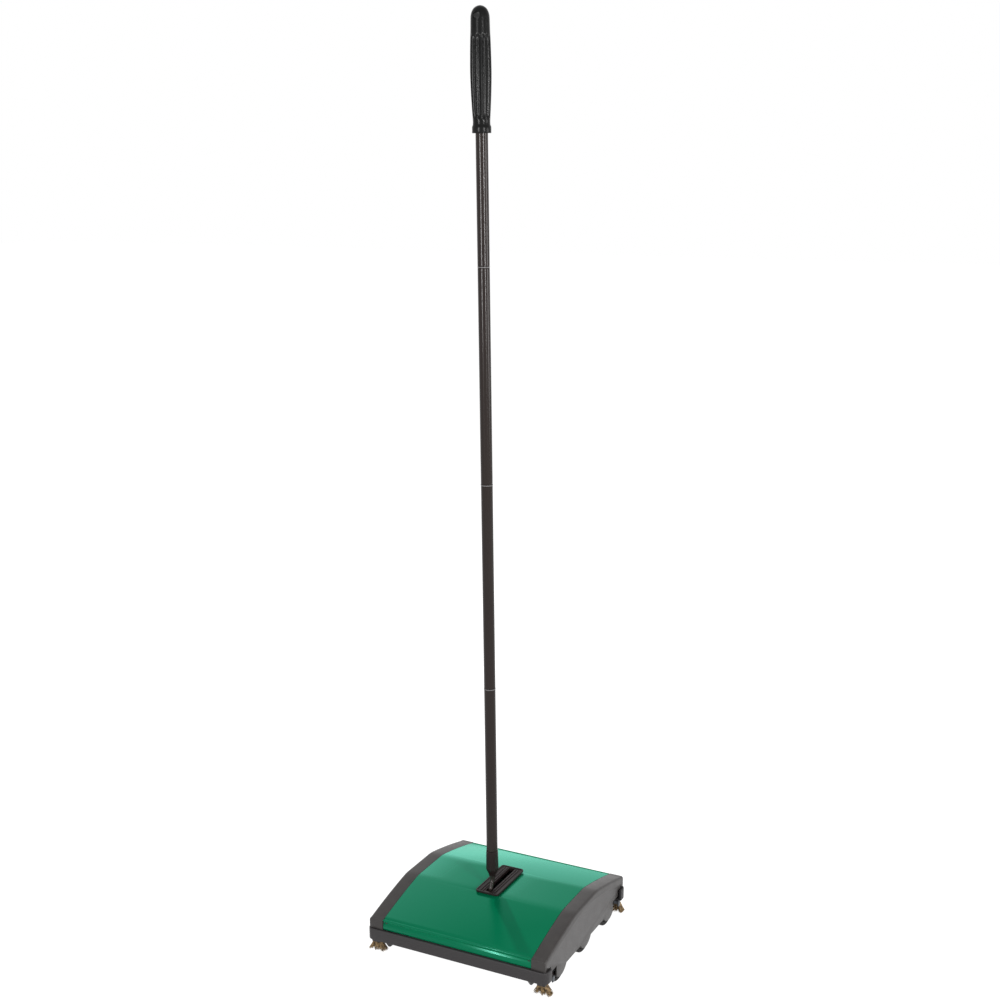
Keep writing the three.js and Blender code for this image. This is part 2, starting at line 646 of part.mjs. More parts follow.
function bailArm() {
  const spot = (y, z) => new THREE.Vector3(0, y, z);
  const eye = spot(0, BAIL_PIVOT_HEIGHT);
  const bend = spot(BAIL_BEND.y, BAIL_BEND.z);
  const onAxis = (s) => spot(HANDLE_BASE.y - s * Math.sin(lean), HANDLE_BASE.z + s * Math.cos(lean));
  const foot = onAxis(-BAIL_FOOT_DROP);
  const bendIn = bend.clone().lerp(eye, 0.13);
  const bendOut = bend.clone().lerp(foot, 0.4);
  const footIn = foot.clone().lerp(bend, 0.35);
  const path = new THREE.CurvePath();
  path.add(new THREE.LineCurve3(eye, bendIn));
  path.add(new THREE.QuadraticBezierCurve3(bendIn, bend, bendOut));
  path.add(new THREE.LineCurve3(bendOut, footIn));
  path.add(new THREE.QuadraticBezierCurve3(footIn, foot, onAxis(-0.5)));
  path.add(new THREE.LineCurve3(onAxis(-0.5), onAxis(BAIL_SEAT)));
  const section = new THREE.Shape().absarc(0, 0, BAIL_ROD_RADIUS, 0, 2 * Math.PI, false);
  const rod = solid(new THREE.ExtrudeGeometry(section, {
    steps: 20, bevelEnabled: false, curveSegments: 4, extrudePath: path,
  }));
  const hubX = barX(EYE_RADIUS, -EYE_HALF_WIDTH, EYE_HALF_WIDTH, 0, BAIL_PIVOT_HEIGHT, 20);
  return cut(joined(rod, hubX), barX(PIVOT_RADIUS + GAP, -20, 20, 0, BAIL_PIVOT_HEIGHT, 12));
}

// ---- Handle pieces, modelled along their own Z from the foot of the ferrule ----
const tubeInner = TUBE_RADIUS - TUBE_WALL;
const spigotOuter = tubeInner - GAP;
const spigotInner = spigotOuter - TUBE_WALL;

function ferrule() {
  const top = onHandle(FERRULE_TOP);
  const socket = top - SPIGOT_LENGTH / 2 - GAP;
  const bore = BAIL_ROD_RADIUS + GAP;
  return turnedZ(ringProfile([
    [bore, 0], [bore + 1.3, 0], [bore + 1.6, 2.2], [FERRULE_RADIUS - 0.5, 8], [FERRULE_RADIUS, 10.5],
    [FERRULE_RADIUS, 13], [TUBE_RADIUS + 0.5, top - 3], [TUBE_RADIUS + 0.2, top],
    [spigotOuter + GAP, top], [spigotOuter + GAP, socket], [bore, socket],
  ]));
}

// A tube from one height to another, with a swaged spigot below it.
function handleTube(z0, z1, spigotLength) {
  const [low, high] = [onHandle(z0) + GAP, onHandle(z1) - GAP];
  return turnedZ(ringProfile([
    [spigotInner, low - spigotLength], [spigotOuter, low - spigotLength], [spigotOuter, low],
    [TUBE_RADIUS, low], [TUBE_RADIUS, high], [tubeInner, high], [tubeInner, low + 2], [spigotInner, low],
  ]));
}

function jointRing(height) {
  const middle = onHandle(height);
  const [low, high] = [middle - RING_THICK / 2, middle + RING_THICK / 2];
  return turnedZ(ringProfile([
    [spigotOuter + GAP, low], [TUBE_RADIUS + 0.25, low], [TUBE_RADIUS + 0.25, high], [spigotOuter + GAP, high],
  ]));
}

// Grip with a flared collar, a fluted waist, a plain band and a domed end with a hanging hole.
function grip() {
  const [bottom, top] = [onHandle(GRIP_BOTTOM), onHandle(OVERALL_HEIGHT)];
  const bore = TUBE_RADIUS + GAP;
  const boreTop = top - 2.8 * HANG_HOLE_DROP;
  const span = top - bottom;
  const at = (share) => bottom + share * span;
  const flutes = 10;
  const waist = [[0.1, 0.835], [0.18, 0.87], [0.32, 0.965], [0.48, 1], [0.64, 0.965], [0.76, 0.91]];
  const flutedLow = at(0.085);
  const flutedHigh = at(0.775);
  const geometry = turnedZ([
    [0, boreTop], [bore, boreTop], [bore, bottom], [GRIP_RADIUS * 0.9, bottom], [GRIP_RADIUS * 0.91, at(0.045)],
    [GRIP_RADIUS * 0.82, at(0.075)],
    ...waist.map(([share, size]) => [GRIP_RADIUS * size, at(share)]),
    [GRIP_RADIUS * 0.87, at(0.79)], [GRIP_RADIUS * 0.86, at(0.86)], [GRIP_RADIUS * 0.8, at(0.93)],
    [GRIP_RADIUS * 0.62, at(0.972)], [GRIP_RADIUS * 0.34, at(0.993)], [0, top],
  ], 2 * flutes);
  const point = geometry.getAttribute('position');
  for (let i = 0; i < point.count; i += 1) {
    const [x, y, z] = [point.getX(i), point.getY(i), point.getZ(i)];
    const step = Math.round(Math.atan2(y, x) / (Math.PI / flutes));
    const outside = Math.hypot(x, y) > bore + 0.5;
    const inBand = z > flutedLow && z < flutedHigh;
    if (outside && inBand && step % 2 !== 0) point.setXYZ(i, x * 0.94, y * 0.94, z);
  }
  const hole = new THREE.CylinderGeometry(HANG_HOLE_RADIUS, HANG_HOLE_RADIUS, 4 * GRIP_RADIUS, 16);
  hole.translate(0, 0, top - HANG_HOLE_DROP);
  return cut(solid(geometry), solid(hole));
}

// ---- Assembly ----
place('top_cover', topCover(), greenPaint);
place('slot_plate', slotPlate(), blackPlastic);
place('roller_housing', rollerHousing(), greyPlastic);
place('bail_pin', bailPin(), steel);
place('bail_arm', bailArm(), blackTube);

for (const [sideName, side] of Object.entries(SIDES)) {
  place(`end_cap_${sideName}`, endCap(side), darkPlastic);
  place(`side_frame_${sideName}`, sideFrame(side), steel);
  place(`bail_bracket_${sideName}`, bailBracket(side), steel);
  for (const [endName, end] of Object.entries(ENDS)) {
    place(`corner_brush_${endName}_${sideName}`, cornerBrush(side, end), bristle);
    place(`cap_screw_${endName}_${sideName}`, capScrew(side, end), steel);
  }
  for (const [rowName, y] of Object.entries(WHEEL_ROWS)) {
    const mirrored = (body) => (side > 0 ? body : body.mirror([1, 0, 0]));
    place(`axle_${rowName}_${sideName}`, mirrored(axle(y)), steel);
    place(`wheel_hub_${rowName}_${sideName}`, mirrored(hub(y)), blackPlastic);
    place(`tyre_${rowName}_${sideName}`, mirrored(tyre(y)), blackRubber);
  }
}

for (const [endName, end] of Object.entries(ENDS)) {
  place(`bumper_${endName}`, bumper(end), darkPlastic);
  place(`dirt_pan_${endName}`, dirtPan(end), greyPlastic);
  place(`pan_spring_${endName}`, panSpring(end), steel);
  place(`roller_shaft_${endName}`, rollerShaft(end * rollerY), steel);
  place(`roller_core_${endName}`, rollerCore(end * rollerY), blackPlastic);
  place(`roller_bristles_${endName}`, rollerBristles(end * rollerY, end), bristle);
}

const handle = new THREE.Group();
handle.position.set(0, HANDLE_BASE.y, HANDLE_BASE.z);
handle.rotation.x = lean;
sweeper.add(handle);
const [lowJoint, middleJoint, highJoint] = JOINT_HEIGHTS;
const ringGap = RING_THICK / 2;
place('ferrule', solid(ferrule()), blackPlastic, handle);
place('handle_tube_1', solid(handleTube(FERRULE_TOP, lowJoint - ringGap, SPIGOT_LENGTH / 2 - 1)), blackTube, handle);
place('handle_tube_2', solid(handleTube(lowJoint + ringGap, middleJoint - ringGap, SPIGOT_LENGTH)), blackTube, handle);
place('handle_tube_3', solid(handleTube(middleJoint + ringGap, highJoint - ringGap, SPIGOT_LENGTH)), blackTube, handle);
place('handle_tube_4', solid(handleTube(
  highJoint + ringGap, OVERALL_HEIGHT - 3 * HANG_HOLE_DROP, SPIGOT_LENGTH,
)), blackTube, handle);
JOINT_HEIGHTS.forEach((height, i) => place(`joint_ring_${i + 1}`, solid(jointRing(height)), lightPlastic, handle));
place('hand_grip', grip(), blackRubber, handle);

export default sweeper;
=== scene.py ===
# %% [markdown]
# # A manual carpet sweeper
# The head is an arched steel cover between two moulded end caps, on six small wheels that drive two
# brush rollers. A long handle of steel tubes stands in a slot on the crest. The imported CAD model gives
# the places and the outer sizes, so it is loaded first and each visible piece is then built to match it.

# %% Load the frame
import math
import random

import bmesh
import bpy
from mathutils import Matrix, Vector


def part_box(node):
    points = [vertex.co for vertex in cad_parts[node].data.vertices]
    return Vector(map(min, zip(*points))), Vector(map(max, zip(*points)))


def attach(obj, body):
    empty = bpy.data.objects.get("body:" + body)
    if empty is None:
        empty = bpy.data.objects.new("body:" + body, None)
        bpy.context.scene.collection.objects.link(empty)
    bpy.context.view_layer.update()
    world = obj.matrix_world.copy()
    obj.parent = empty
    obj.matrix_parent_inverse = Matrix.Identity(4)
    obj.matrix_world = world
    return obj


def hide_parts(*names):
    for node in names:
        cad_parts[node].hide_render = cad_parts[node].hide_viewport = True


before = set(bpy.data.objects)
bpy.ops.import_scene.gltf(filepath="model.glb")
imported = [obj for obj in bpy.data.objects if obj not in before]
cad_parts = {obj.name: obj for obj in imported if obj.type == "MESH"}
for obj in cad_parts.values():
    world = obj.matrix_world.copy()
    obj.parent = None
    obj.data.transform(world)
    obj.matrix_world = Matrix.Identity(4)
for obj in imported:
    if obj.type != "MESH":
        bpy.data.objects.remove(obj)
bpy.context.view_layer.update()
MM = 0.001
print("nodes in the frame:", len(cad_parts))

# %% [markdown]
# ## Camera
# The camera stands a little above and to the right of the front, far enough away for the long handle.
# It is made from its two angles, its distance and the height it aims at, so that it can be read.

# %% Camera
CAMERA_AZIMUTH = math.radians(26.73)
CAMERA_ELEVATION = math.radians(12.57)
CAMERA_DISTANCE = 1.7296
CAMERA_AIM = Vector((0.0, 0.0, 0.56107))
CAMERA_LENS = 52.245

toward_camera = Vector((
    math.sin(CAMERA_AZIMUTH) * math.cos(CAMERA_ELEVATION),
    -math.cos(CAMERA_AZIMUTH) * math.cos(CAMERA_ELEVATION),
    math.sin(CAMERA_ELEVATION),
))
camera_data = bpy.data.cameras.new("view_camera")
camera_data.lens = CAMERA_LENS
camera_data.sensor_width = 36.0
camera = bpy.data.objects.new("view_camera", camera_data)
camera.location = CAMERA_AIM + toward_camera * CAMERA_DISTANCE
camera.rotation_euler = (-toward_camera).to_track_quat("-Z", "Y").to_euler()
bpy.context.scene.collection.objects.link(camera)
bpy.context.scene.camera = camera
print("camera stands at:", tuple(round(v, 3) for v in camera.location))

# %% [markdown]
# ## Light and floor
# The sweeper stands on a white studio table. Strong lamps could whiten the table, but they would also
# bleach the paint. So the world and the floor are white only for rays that look at them, and softer for
# the light that falls on the sweeper. Two tall soft boxes draw the pair of light lines down the handle.

# %% How much of the white is seen
WORLD_LIGHT = 0.34
FLOOR_SHOWN = 0.82
FLOOR_STRENGTH = 1.20
WHITE = (1, 1, 1, 1)
PAPER_GREY = (0.9, 0.9, 0.9, 1)
FLOOR_SIZE = 30
scene = bpy.context.scene
scene.view_settings.view_transform = "Standard"


def seen_share(tree, amount):
    """How much of the white is used: all of the amount for rays that see it, none for plain light."""
    rays = tree.nodes.new("ShaderNodeLightPath")
    looking = rays.outputs["Is Camera Ray"]
    for kind in ("Is Glossy Ray", "Is Transmission Ray"):
        either = tree.nodes.new("ShaderNodeMath")
        either.operation = "ADD"
        either.use_clamp = True
        tree.links.new(looking, either.inputs[0])
        tree.links.new(rays.outputs[kind], either.inputs[1])
        looking = either.outputs[0]
    share = tree.nodes.new("ShaderNodeMath")
    share.operation = "MULTIPLY"
    share.inputs[1].default_value = amount
    tree.links.new(looking, share.inputs[0])
    return share.outputs[0]


def join_shaders(tree, plain, seen, amount, output_kind):
    """Plain light meets the first shader, and the rays that look at the surface meet the second."""
    mix = tree.nodes.new("ShaderNodeMixShader")
    output = tree.nodes.new(output_kind)
    tree.links.new(seen_share(tree, amount), mix.inputs[0])
    tree.links.new(plain.outputs[0], mix.inputs[1])
    tree.links.new(seen.outputs[0], mix.inputs[2])
    tree.links.new(mix.outputs[0], output.inputs[0])


# %% World
world = bpy.data.worlds.new("studio")
scene.world = world
world.use_nodes = True
tree = world.node_tree
tree.nodes.clear()
seen = tree.nodes.new("ShaderNodeBackground")
seen.inputs["Color"].default_value = WHITE
soft = tree.nodes.new("ShaderNodeBackground")
soft.inputs["Color"].default_value = WHITE
soft.inputs["Strength"].default_value = WORLD_LIGHT
join_shaders(tree, soft, seen, 1.0, "ShaderNodeOutputWorld")
print("world light on the sweeper:", WORLD_LIGHT)

# %% Floor
floor_material = bpy.data.materials.new("studio_floor")
floor_material.use_nodes = True
tree = floor_material.node_tree
tree.nodes.clear()
paper = tree.nodes.new("ShaderNodeBsdfDiffuse")
paper.inputs["Color"].default_value = PAPER_GREY
white = tree.nodes.new("ShaderNodeEmission")
white.inputs["Color"].default_value = WHITE
white.inputs["Strength"].default_value = FLOOR_STRENGTH
join_shaders(tree, paper, white, FLOOR_SHOWN, "ShaderNodeOutputMaterial")
bpy.ops.object.select_all(action="DESELECT")
bpy.ops.mesh.primitive_plane_add(size=FLOOR_SIZE, location=(0, 0, 0))
floor = bpy.context.object
floor.name = "studio_floor"
floor.data.materials.append(floor_material)
print("floor size in m:", FLOOR_SIZE)


# %% Lamps
def soft_box(name, place, aim, width, height, power, mirrored=True):
    """A rectangular lamp in metres and watts, turned towards the point it aims at."""
    light = bpy.data.lights.new(name, "AREA")
    light.shape = "RECTANGLE"
    light.size = width
    light.size_y = height
    light.energy = power
    lamp = bpy.data.objects.new(name, light)
    lamp.location = place
    lamp.rotation_euler = (Vector(aim) - Vector(place)).to_track_quat("-Z", "Y").to_euler()
    lamp.visible_glossy = mirrored
    scene.collection.objects.link(lamp)


soft_box("left_strip", (-0.25, -1.6, 0.86), (0, 0, 0.80), 0.14, 0.66, 20)
soft_box("right_strip", (1.38, -0.95, 0.86), (0, 0, 0.80), 0.14, 0.66, 20)
soft_box("side_box", (2.2, 0.5, 0.7), (0.1, 0, 0.03), 0.9, 0.9, 24)
soft_box("key_light", (-1.3, 1.3, 1.75), (0, 0, 0.05), 0.09, 0.09, 50, mirrored=False)

# %% [markdown]
# ## Tools of the workbench
# Most pieces start as a chain of points that is then extruded or spun, as a turner or a press does.
# These helpers wrap the operators, so that each piece below reads as a list of steps.


# %% Selecting and editing
def deselect():
    if bpy.context.object and bpy.context.object.mode != "OBJECT":
        bpy.ops.object.mode_set(mode="OBJECT")
    bpy.ops.object.select_all(action="DESELECT")


def activate(piece):
    deselect()
    piece.select_set(True)
    bpy.context.view_layer.objects.active = piece


def edit(piece):
    activate(piece)
    bpy.ops.object.mode_set(mode="EDIT")
    bpy.ops.mesh.select_all(action="SELECT")


def leave_edit():
    bpy.ops.object.mode_set(mode="OBJECT")


def choose(piece, kind, test):
    """In edit mode, selects just the vertices, edges or faces that pass the test."""
    bpy.ops.mesh.select_mode(type=kind)
    bpy.ops.mesh.select_all(action="DESELECT")
    mesh = bmesh.from_edit_mesh(piece.data)
    parts = {"VERT": mesh.verts, "EDGE": mesh.edges, "FACE": mesh.faces}[kind]
    count = 0
    for part in parts:
        if test(part):
            part.select_set(True)
            count += 1
    mesh.select_flush_mode()
    bmesh.update_edit_mesh(piece.data)
    return count


# %% Drawing, extruding and spinning
def push(step):
    """Extrudes what is selected and moves it by the step."""
    bpy.ops.mesh.extrude_region_move(TRANSFORM_OT_translate={"value": Vector(step)})


def face_outwards():
    bpy.ops.mesh.normals_make_consistent(inside=False)


def drawn(name, points, closed=False):
    """A chain of edges through the points, filled to a face if it is closed."""
    deselect()
    bpy.ops.mesh.primitive_plane_add(size=0.001, location=points[0])
    piece = bpy.context.object
    piece.name = name
    bpy.ops.object.transform_apply(location=True, rotation=True, scale=True)
    bpy.ops.object.mode_set(mode="EDIT")
    bpy.ops.mesh.select_mode(type="VERT")
    bpy.ops.mesh.select_all(action="SELECT")
    bpy.ops.mesh.merge(type="CENTER")
    for before, after in zip(points, points[1:]):
        push(Vector(after) - Vector(before))
    bpy.ops.mesh.select_all(action="SELECT")
    if closed:
        bpy.ops.mesh.edge_face_add()
    return piece


def pulled(name, points, pull, closed=True):
    """A closed outline pulled out to a solid, or an open chain pulled out to a sheet."""
    piece = drawn(name, points, closed)
    push(pull)
    bpy.ops.mesh.select_all(action="SELECT")
    face_outwards()
    leave_edit()
    return piece


def spun(name, profile, steps=48):
    """Turns [radius, height] points once about Z."""
    piece = drawn(name, [(radius, 0, height) for radius, height in profile])
    bpy.ops.mesh.spin(steps=steps, angle=2 * math.pi, center=(0, 0, 0), axis=(0, 0, 1))
    bpy.ops.mesh.select_all(action="SELECT")
    bpy.ops.mesh.remove_doubles(threshold=1e-6)
    face_outwards()
    leave_edit()
    return piece


def ring(points):
    return [*points, points[0]]


def curved(points, per_span=5):
    """A smooth curve through the points, for a profile that has no corners."""
    ends = [points[0], *points, points[-1]]
    result = [points[0]]
    for a, b, c, d in zip(ends, ends[1:], ends[2:], ends[3:]):
        for i in range(1, per_span + 1):
            t = i / per_span
            result.append(tuple(
                0.5 * (2 * q + (r - p) * t + (2 * p - 5 * q + 4 * r - s) * t ** 2
                       + (3 * q - p - 3 * r + s) * t ** 3)
                for p, q, r, s in zip(a, b, c, d)
            ))
    return result


def arc(centre, radius, start, end, steps):
    """Points of a round corner, with its angles in degrees."""
    return [
        (centre[0] + radius * math.cos(math.radians(start + (end - start) * i / steps)),
         centre[1] + radius * math.sin(math.radians(start + (end - start) * i / steps)))
        for i in range(steps + 1)
    ]


# %% Placing, cutting, bevelling and finishing
def settle(piece, location=(0, 0, 0), rotation=(0, 0, 0), scale=(1, 1, 1)):
    piece.location = location
    piece.rotation_euler = rotation
    piece.scale = scale
    activate(piece)
    bpy.ops.object.transform_apply(location=True, rotation=True, scale=True)
    return piece


def laid_across(piece, side=1, location=(0, 0, 0)):
    """Turns a piece that was made upright so that its axis lies across the head."""
    return settle(piece, location=location, rotation=(0, side * math.pi / 2, 0))


def block(name, low, high):
    """A box primitive between two corners."""
    low, high = Vector(low), Vector(high)
    deselect()
    bpy.ops.mesh.primitive_cube_add(size=1, location=(low + high) / 2)
    piece = bpy.context.object
    piece.name = name
    piece.scale = high - low
    bpy.ops.object.transform_apply(location=True, rotation=True, scale=True)
    return piece


def use_modifier(piece, kind, **settings):
    modifier = piece.modifiers.new(kind.lower(), kind)
    for key, value in settings.items():
        setattr(modifier, key, value)
    activate(piece)
    bpy.ops.object.modifier_apply(modifier=modifier.name)


def bevelled(piece, width, segments=3, angle=35):
    use_modifier(
        piece, "BEVEL", width=width, segments=segments, limit_method="ANGLE",
        angle_limit=math.radians(angle), harden_normals=False,
    )
    return piece


def cut_by(piece, *cutters):
    for cutter in cutters:
        use_modifier(piece, "BOOLEAN", operation="DIFFERENCE", solver="EXACT", object=cutter)
        bpy.data.objects.remove(cutter)
    return piece


def merged(name, pieces):
    activate(pieces[0])
    for piece in pieces:
        piece.select_set(True)
    bpy.ops.object.join()
    whole = bpy.context.object
    whole.name = name
    return whole


def twin(piece, name, flip=(1, 1, 1), move=(0, 0, 0)):
    """A copy with its own mesh, mirrored or moved."""
    copy = piece.copy()
    copy.data = piece.data.copy()
    copy.name = name
    scene.collection.objects.link(copy)
    settle(copy, location=move, scale=flip)
    if flip[0] * flip[1] * flip[2] < 0:
        edit(copy)
        face_outwards()
        leave_edit()
    return copy


def smooth(piece, angle=32):
    activate(piece)
    bpy.ops.object.shade_smooth_by_angle(angle=math.radians(angle))


def finish(piece, body, material, slot_name, *nodes, angle=32):
    """Smooths and paints a piece, hangs it on its body and hides the CAD nodes it stands for."""
    smooth(piece, angle)
    piece.data.materials.clear()
    piece.data.materials.append(material)
    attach(piece, body)
    if nodes:
        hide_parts(*nodes)
    print(piece.name, len(piece.data.polygons), "faces")
    return piece


# %% [markdown]
# ## Finishes
# Moulded plastic has grain, paint has orange peel and steel has fine drawing lines. Image textures
# could show that, but noise needs no file and has no seams. So each finish is a Principled shader
# with a little noise in its bump, colour or roughness. The green paint also gets a tinted layer of
# gloss, which grows where the cover is seen at a low angle.


# %% Finish maker
GLOSS_RISE = ((0.30, 0.02), (0.56, 0.115), (0.80, 0.43))
WEAR_SCALE = 60
WEAR_DETAIL = 4


def finish_material(name, colour, roughness, metallic=0.0, grain=None, mottle=None, wear=None,
                    stretch=(1, 1, 1), gloss=0.5, edge_tint=None):
    """grain is the bump's scale, strength and distance, and mottle a scale and a second colour.

    wear spreads the roughness both ways, and edge_tint colours the gloss at a low angle.
    """
    material = bpy.data.materials.new(name)
    material.use_nodes = True
    nodes = material.node_tree.nodes
    links = material.node_tree.links
    shader = nodes["Principled BSDF"]
    shader.inputs["Base Color"].default_value = (*colour, 1)
    shader.inputs["Roughness"].default_value = roughness
    shader.inputs["Metallic"].default_value = metallic
    shader.inputs["Specular IOR Level"].default_value = gloss
    if edge_tint:
        facing = nodes.new("ShaderNodeLayerWeight")
        rise = nodes.new("ShaderNodeValToRGB")
        rise.color_ramp.elements.new(GLOSS_RISE[1][0])
        for stop, (position, level) in zip(rise.color_ramp.elements, GLOSS_RISE):
            stop.position = position
            stop.color = (level, level, level, 1)
        gloss_layer = nodes.new("ShaderNodeBsdfGlossy")
        gloss_layer.inputs["Color"].default_value = (*edge_tint, 1)
        gloss_layer.inputs["Roughness"].default_value = roughness
        layers = nodes.new("ShaderNodeMixShader")
        links.new(facing.outputs["Facing"], rise.inputs["Fac"])
        links.new(rise.outputs["Color"], layers.inputs[0])
        links.new(shader.outputs["BSDF"], layers.inputs[1])
        links.new(gloss_layer.outputs["BSDF"], layers.inputs[2])
        links.new(layers.outputs["Shader"], nodes["Material Output"].inputs["Surface"])
    place = nodes.new("ShaderNodeTexCoord")
    mapping = nodes.new("ShaderNodeMapping")
    mapping.inputs["Scale"].default_value = stretch
    links.new(place.outputs["Object"], mapping.inputs["Vector"])

    def noise(scale, detail=3.0):
        texture = nodes.new("ShaderNodeTexNoise")
        texture.inputs["Scale"].default_value = scale
        texture.inputs["Detail"].default_value = detail
        links.new(mapping.outputs["Vector"], texture.inputs["Vector"])
        return texture.outputs["Fac"]

    if grain:
        bump = nodes.new("ShaderNodeBump")
        bump.inputs["Strength"].default_value = grain[1]
        bump.inputs["Distance"].default_value = grain[2]
        links.new(noise(grain[0]), bump.inputs["Height"])
        links.new(bump.outputs["Normal"], shader.inputs["Normal"])
    if mottle:
        ramp = nodes.new("ShaderNodeValToRGB")
        ramp.color_ramp.elements[0].position = 0.35
        ramp.color_ramp.elements[0].color = (*colour, 1)
        ramp.color_ramp.elements[1].position = 0.7
        ramp.color_ramp.elements[1].color = (*mottle[1], 1)
        links.new(noise(mottle[0]), ramp.inputs["Fac"])
        links.new(ramp.outputs["Color"], shader.inputs["Base Color"])
    if wear:
        spread = nodes.new("ShaderNodeMapRange")
        spread.inputs["To Min"].default_value = max(0.02, roughness - wear)
        spread.inputs["To Max"].default_value = roughness + wear
        links.new(noise(WEAR_SCALE, WEAR_DETAIL), spread.inputs["Value"])
        links.new(spread.outputs["Result"], shader.inputs["Roughness"])
    return material


# %% The finishes of the sweeper
green_enamel = finish_material(
    "green_enamel", (0.0001, 0.094, 0.040), 0.20, gloss=0.02, grain=(420, 0.015, 0.0004), wear=0.04,
    edge_tint=(0.22, 1.0, 0.76),
)
cap_plastic = finish_material(
    "cap_plastic", (0.020, 0.0175, 0.017), 0.36, gloss=0.33, grain=(1500, 0.22, 0.0003), wear=0.05,
    mottle=(90, (0.025, 0.022, 0.021)),
)
bumper_plastic = finish_material(
    "bumper_plastic", (0.026, 0.024, 0.025), 0.45, gloss=0.2, grain=(1300, 0.3, 0.0003), wear=0.06,
)
slot_plastic = finish_material(
    "slot_plastic", (0.012, 0.008, 0.008), 0.30, gloss=0.12, grain=(1600, 0.12, 0.0002), wear=0.05,
)
tube_enamel = finish_material(
    "tube_enamel", (0.014, 0.010, 0.009), 0.18, gloss=0.16, stretch=(1, 1, 0.25),
    mottle=(14, (0.018, 0.014, 0.012)),
)
grip_rubber = finish_material(
    "grip_rubber", (0.004, 0.004, 0.004), 0.25, gloss=0.10, grain=(2200, 0.12, 0.0002), wear=0.05,
    mottle=(120, (0.007, 0.007, 0.007)),
)
tyre_rubber = finish_material(
    "tyre_rubber", (0.010, 0.009, 0.009), 0.7, gloss=0.15, grain=(900, 0.4, 0.0003), wear=0.1,
)
bright_steel = finish_material(
    "bright_steel", (0.50, 0.51, 0.52), 0.30, metallic=1.0, grain=(900, 0.06, 0.0002), wear=0.08,
    stretch=(1, 12, 12),
)
# The side frames are near-black. This is painted shade, so that they read as the dark under the head and
# behind its gaps.
frame_painted_shade = finish_material(
    "frame_painted_shade", (0.020, 0.019, 0.019), 0.4, gloss=0.2, grain=(600, 0.1, 0.0003), wear=0.08,
)
pan_plastic = finish_material(
    "pan_plastic", (0.060, 0.066, 0.074), 0.48, gloss=0.25, grain=(1200, 0.2, 0.0003), wear=0.06,
    mottle=(60, (0.075, 0.082, 0.090)),
)
collar_plastic = finish_material(
    "collar_plastic", (0.10, 0.095, 0.095), 0.34, gloss=0.3, grain=(1400, 0.1, 0.0002), wear=0.05,
)
roller_bristle = finish_material(
    "roller_bristle", (0.16, 0.095, 0.035), 0.62, gloss=0.3, mottle=(260, (0.46, 0.33, 0.16)),
    grain=(1800, 0.3, 0.0003),
)
corner_bristle = finish_material(
    "corner_bristle", (0.060, 0.036, 0.016), 0.55, gloss=0.3, mottle=(330, (0.34, 0.23, 0.11)),
    grain=(1800, 0.3, 0.0003),
)
print("last finish made:", corner_bristle.name)

# %% [markdown]
# ## Sizes taken from the frame
# The arch is the one curve that cover, caps and frames share: a flat crest and two long slopes that are
# very slightly crowned. It is averaged over a short window, as a pressed sheet has no sharp bends.

# %% The arch
cover_low, cover_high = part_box("top_cover")
cap_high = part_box("end_cap_right")[1]
bumper_low, bumper_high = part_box("bumper_rear")
LIP_Y = cover_high.y
LIP_BOTTOM = cover_low.z
CREST = cover_high.z
CREST_HALF = 31.5 * MM
CREASE = 45.8 * MM
CROWN = 1.2 * MM
SOFT_BEND = 5 * MM


def sharp_arch(y):
    run = abs(y) - CREST_HALF
    if run <= 0:
        return CREST
    t = min(1.0, run / (LIP_Y - CREST_HALF))
    return CREST + (CREASE - CREST) * t + 4 * CROWN * t * (1 - t)


def arch(y):
    window = [SOFT_BEND * (i - 3) / 3 for i in range(7)]
    return sum(sharp_arch(abs(y) + shift) for shift in window) / len(window)


def arch_line(half_length, steps=48, drop=0.0):
    return [
        (half_length * (2 * i / steps - 1), arch(half_length * (2 * i / steps - 1)) - drop)
        for i in range(steps + 1)
    ]


print("crest height in mm:", round(CREST / MM, 1))

# %% [markdown]
# ## Top cover
# A single steel pressing. Its edge rolls over a bead above the lip, and the lip ends in a small hem.
# A bent grid could give the arch, but not the small rolls at its edges. So the profile is drawn once
# from front to back, pulled across the head, and given its thickness last.

# %% Cover pressing
SHEET = 1.0 * MM
BEAD = 1.5 * MM


def cover_edge():
    bead = arc((LIP_Y - 1.5 * MM, CREASE - 0.7 * MM), BEAD, 95, -50, 8)
    return [
        (LIP_Y - 3.2 * MM, CREASE + 0.1 * MM),
        *bead,
        (LIP_Y - 1.9 * MM, CREASE - 3.4 * MM),
        (LIP_Y - 1.7 * MM, CREASE - 4.2 * MM),
        (LIP_Y - 0.7 * MM, CREASE - 5.2 * MM),
        (LIP_Y - 0.1 * MM, CREASE - 6.6 * MM),
        (LIP_Y, CREASE - 8.5 * MM),
        (LIP_Y - 0.05 * MM, LIP_BOTTOM + 1.6 * MM),
        (LIP_Y - 0.35 * MM, LIP_BOTTOM + 0.5 * MM),
        (LIP_Y - 1.1 * MM, LIP_BOTTOM + 0.05 * MM),
    ]


def cover_profile():
    rear_edge = cover_edge()
    front_edge = [(-y, z) for y, z in reversed(rear_edge)]
    return [*front_edge, *arch_line(LIP_Y - 4.2 * MM, 64), *rear_edge]


cover = pulled(
    "cover_pressing",
    [(cover_low.x, y, z) for y, z in cover_profile()],
    (cover_high.x - cover_low.x, 0, 0),
    closed=False,
)
edit(cover)
mesh = bmesh.from_edit_mesh(cover.data)
highest = max(mesh.faces, key=lambda face: face.calc_center_median().z)
if highest.normal.z < 0:
    bpy.ops.mesh.flip_normals()
leave_edit()
use_modifier(cover, "SOLIDIFY", thickness=SHEET, offset=-1)
print("cover pressing:", len(cover.data.polygons), "faces")

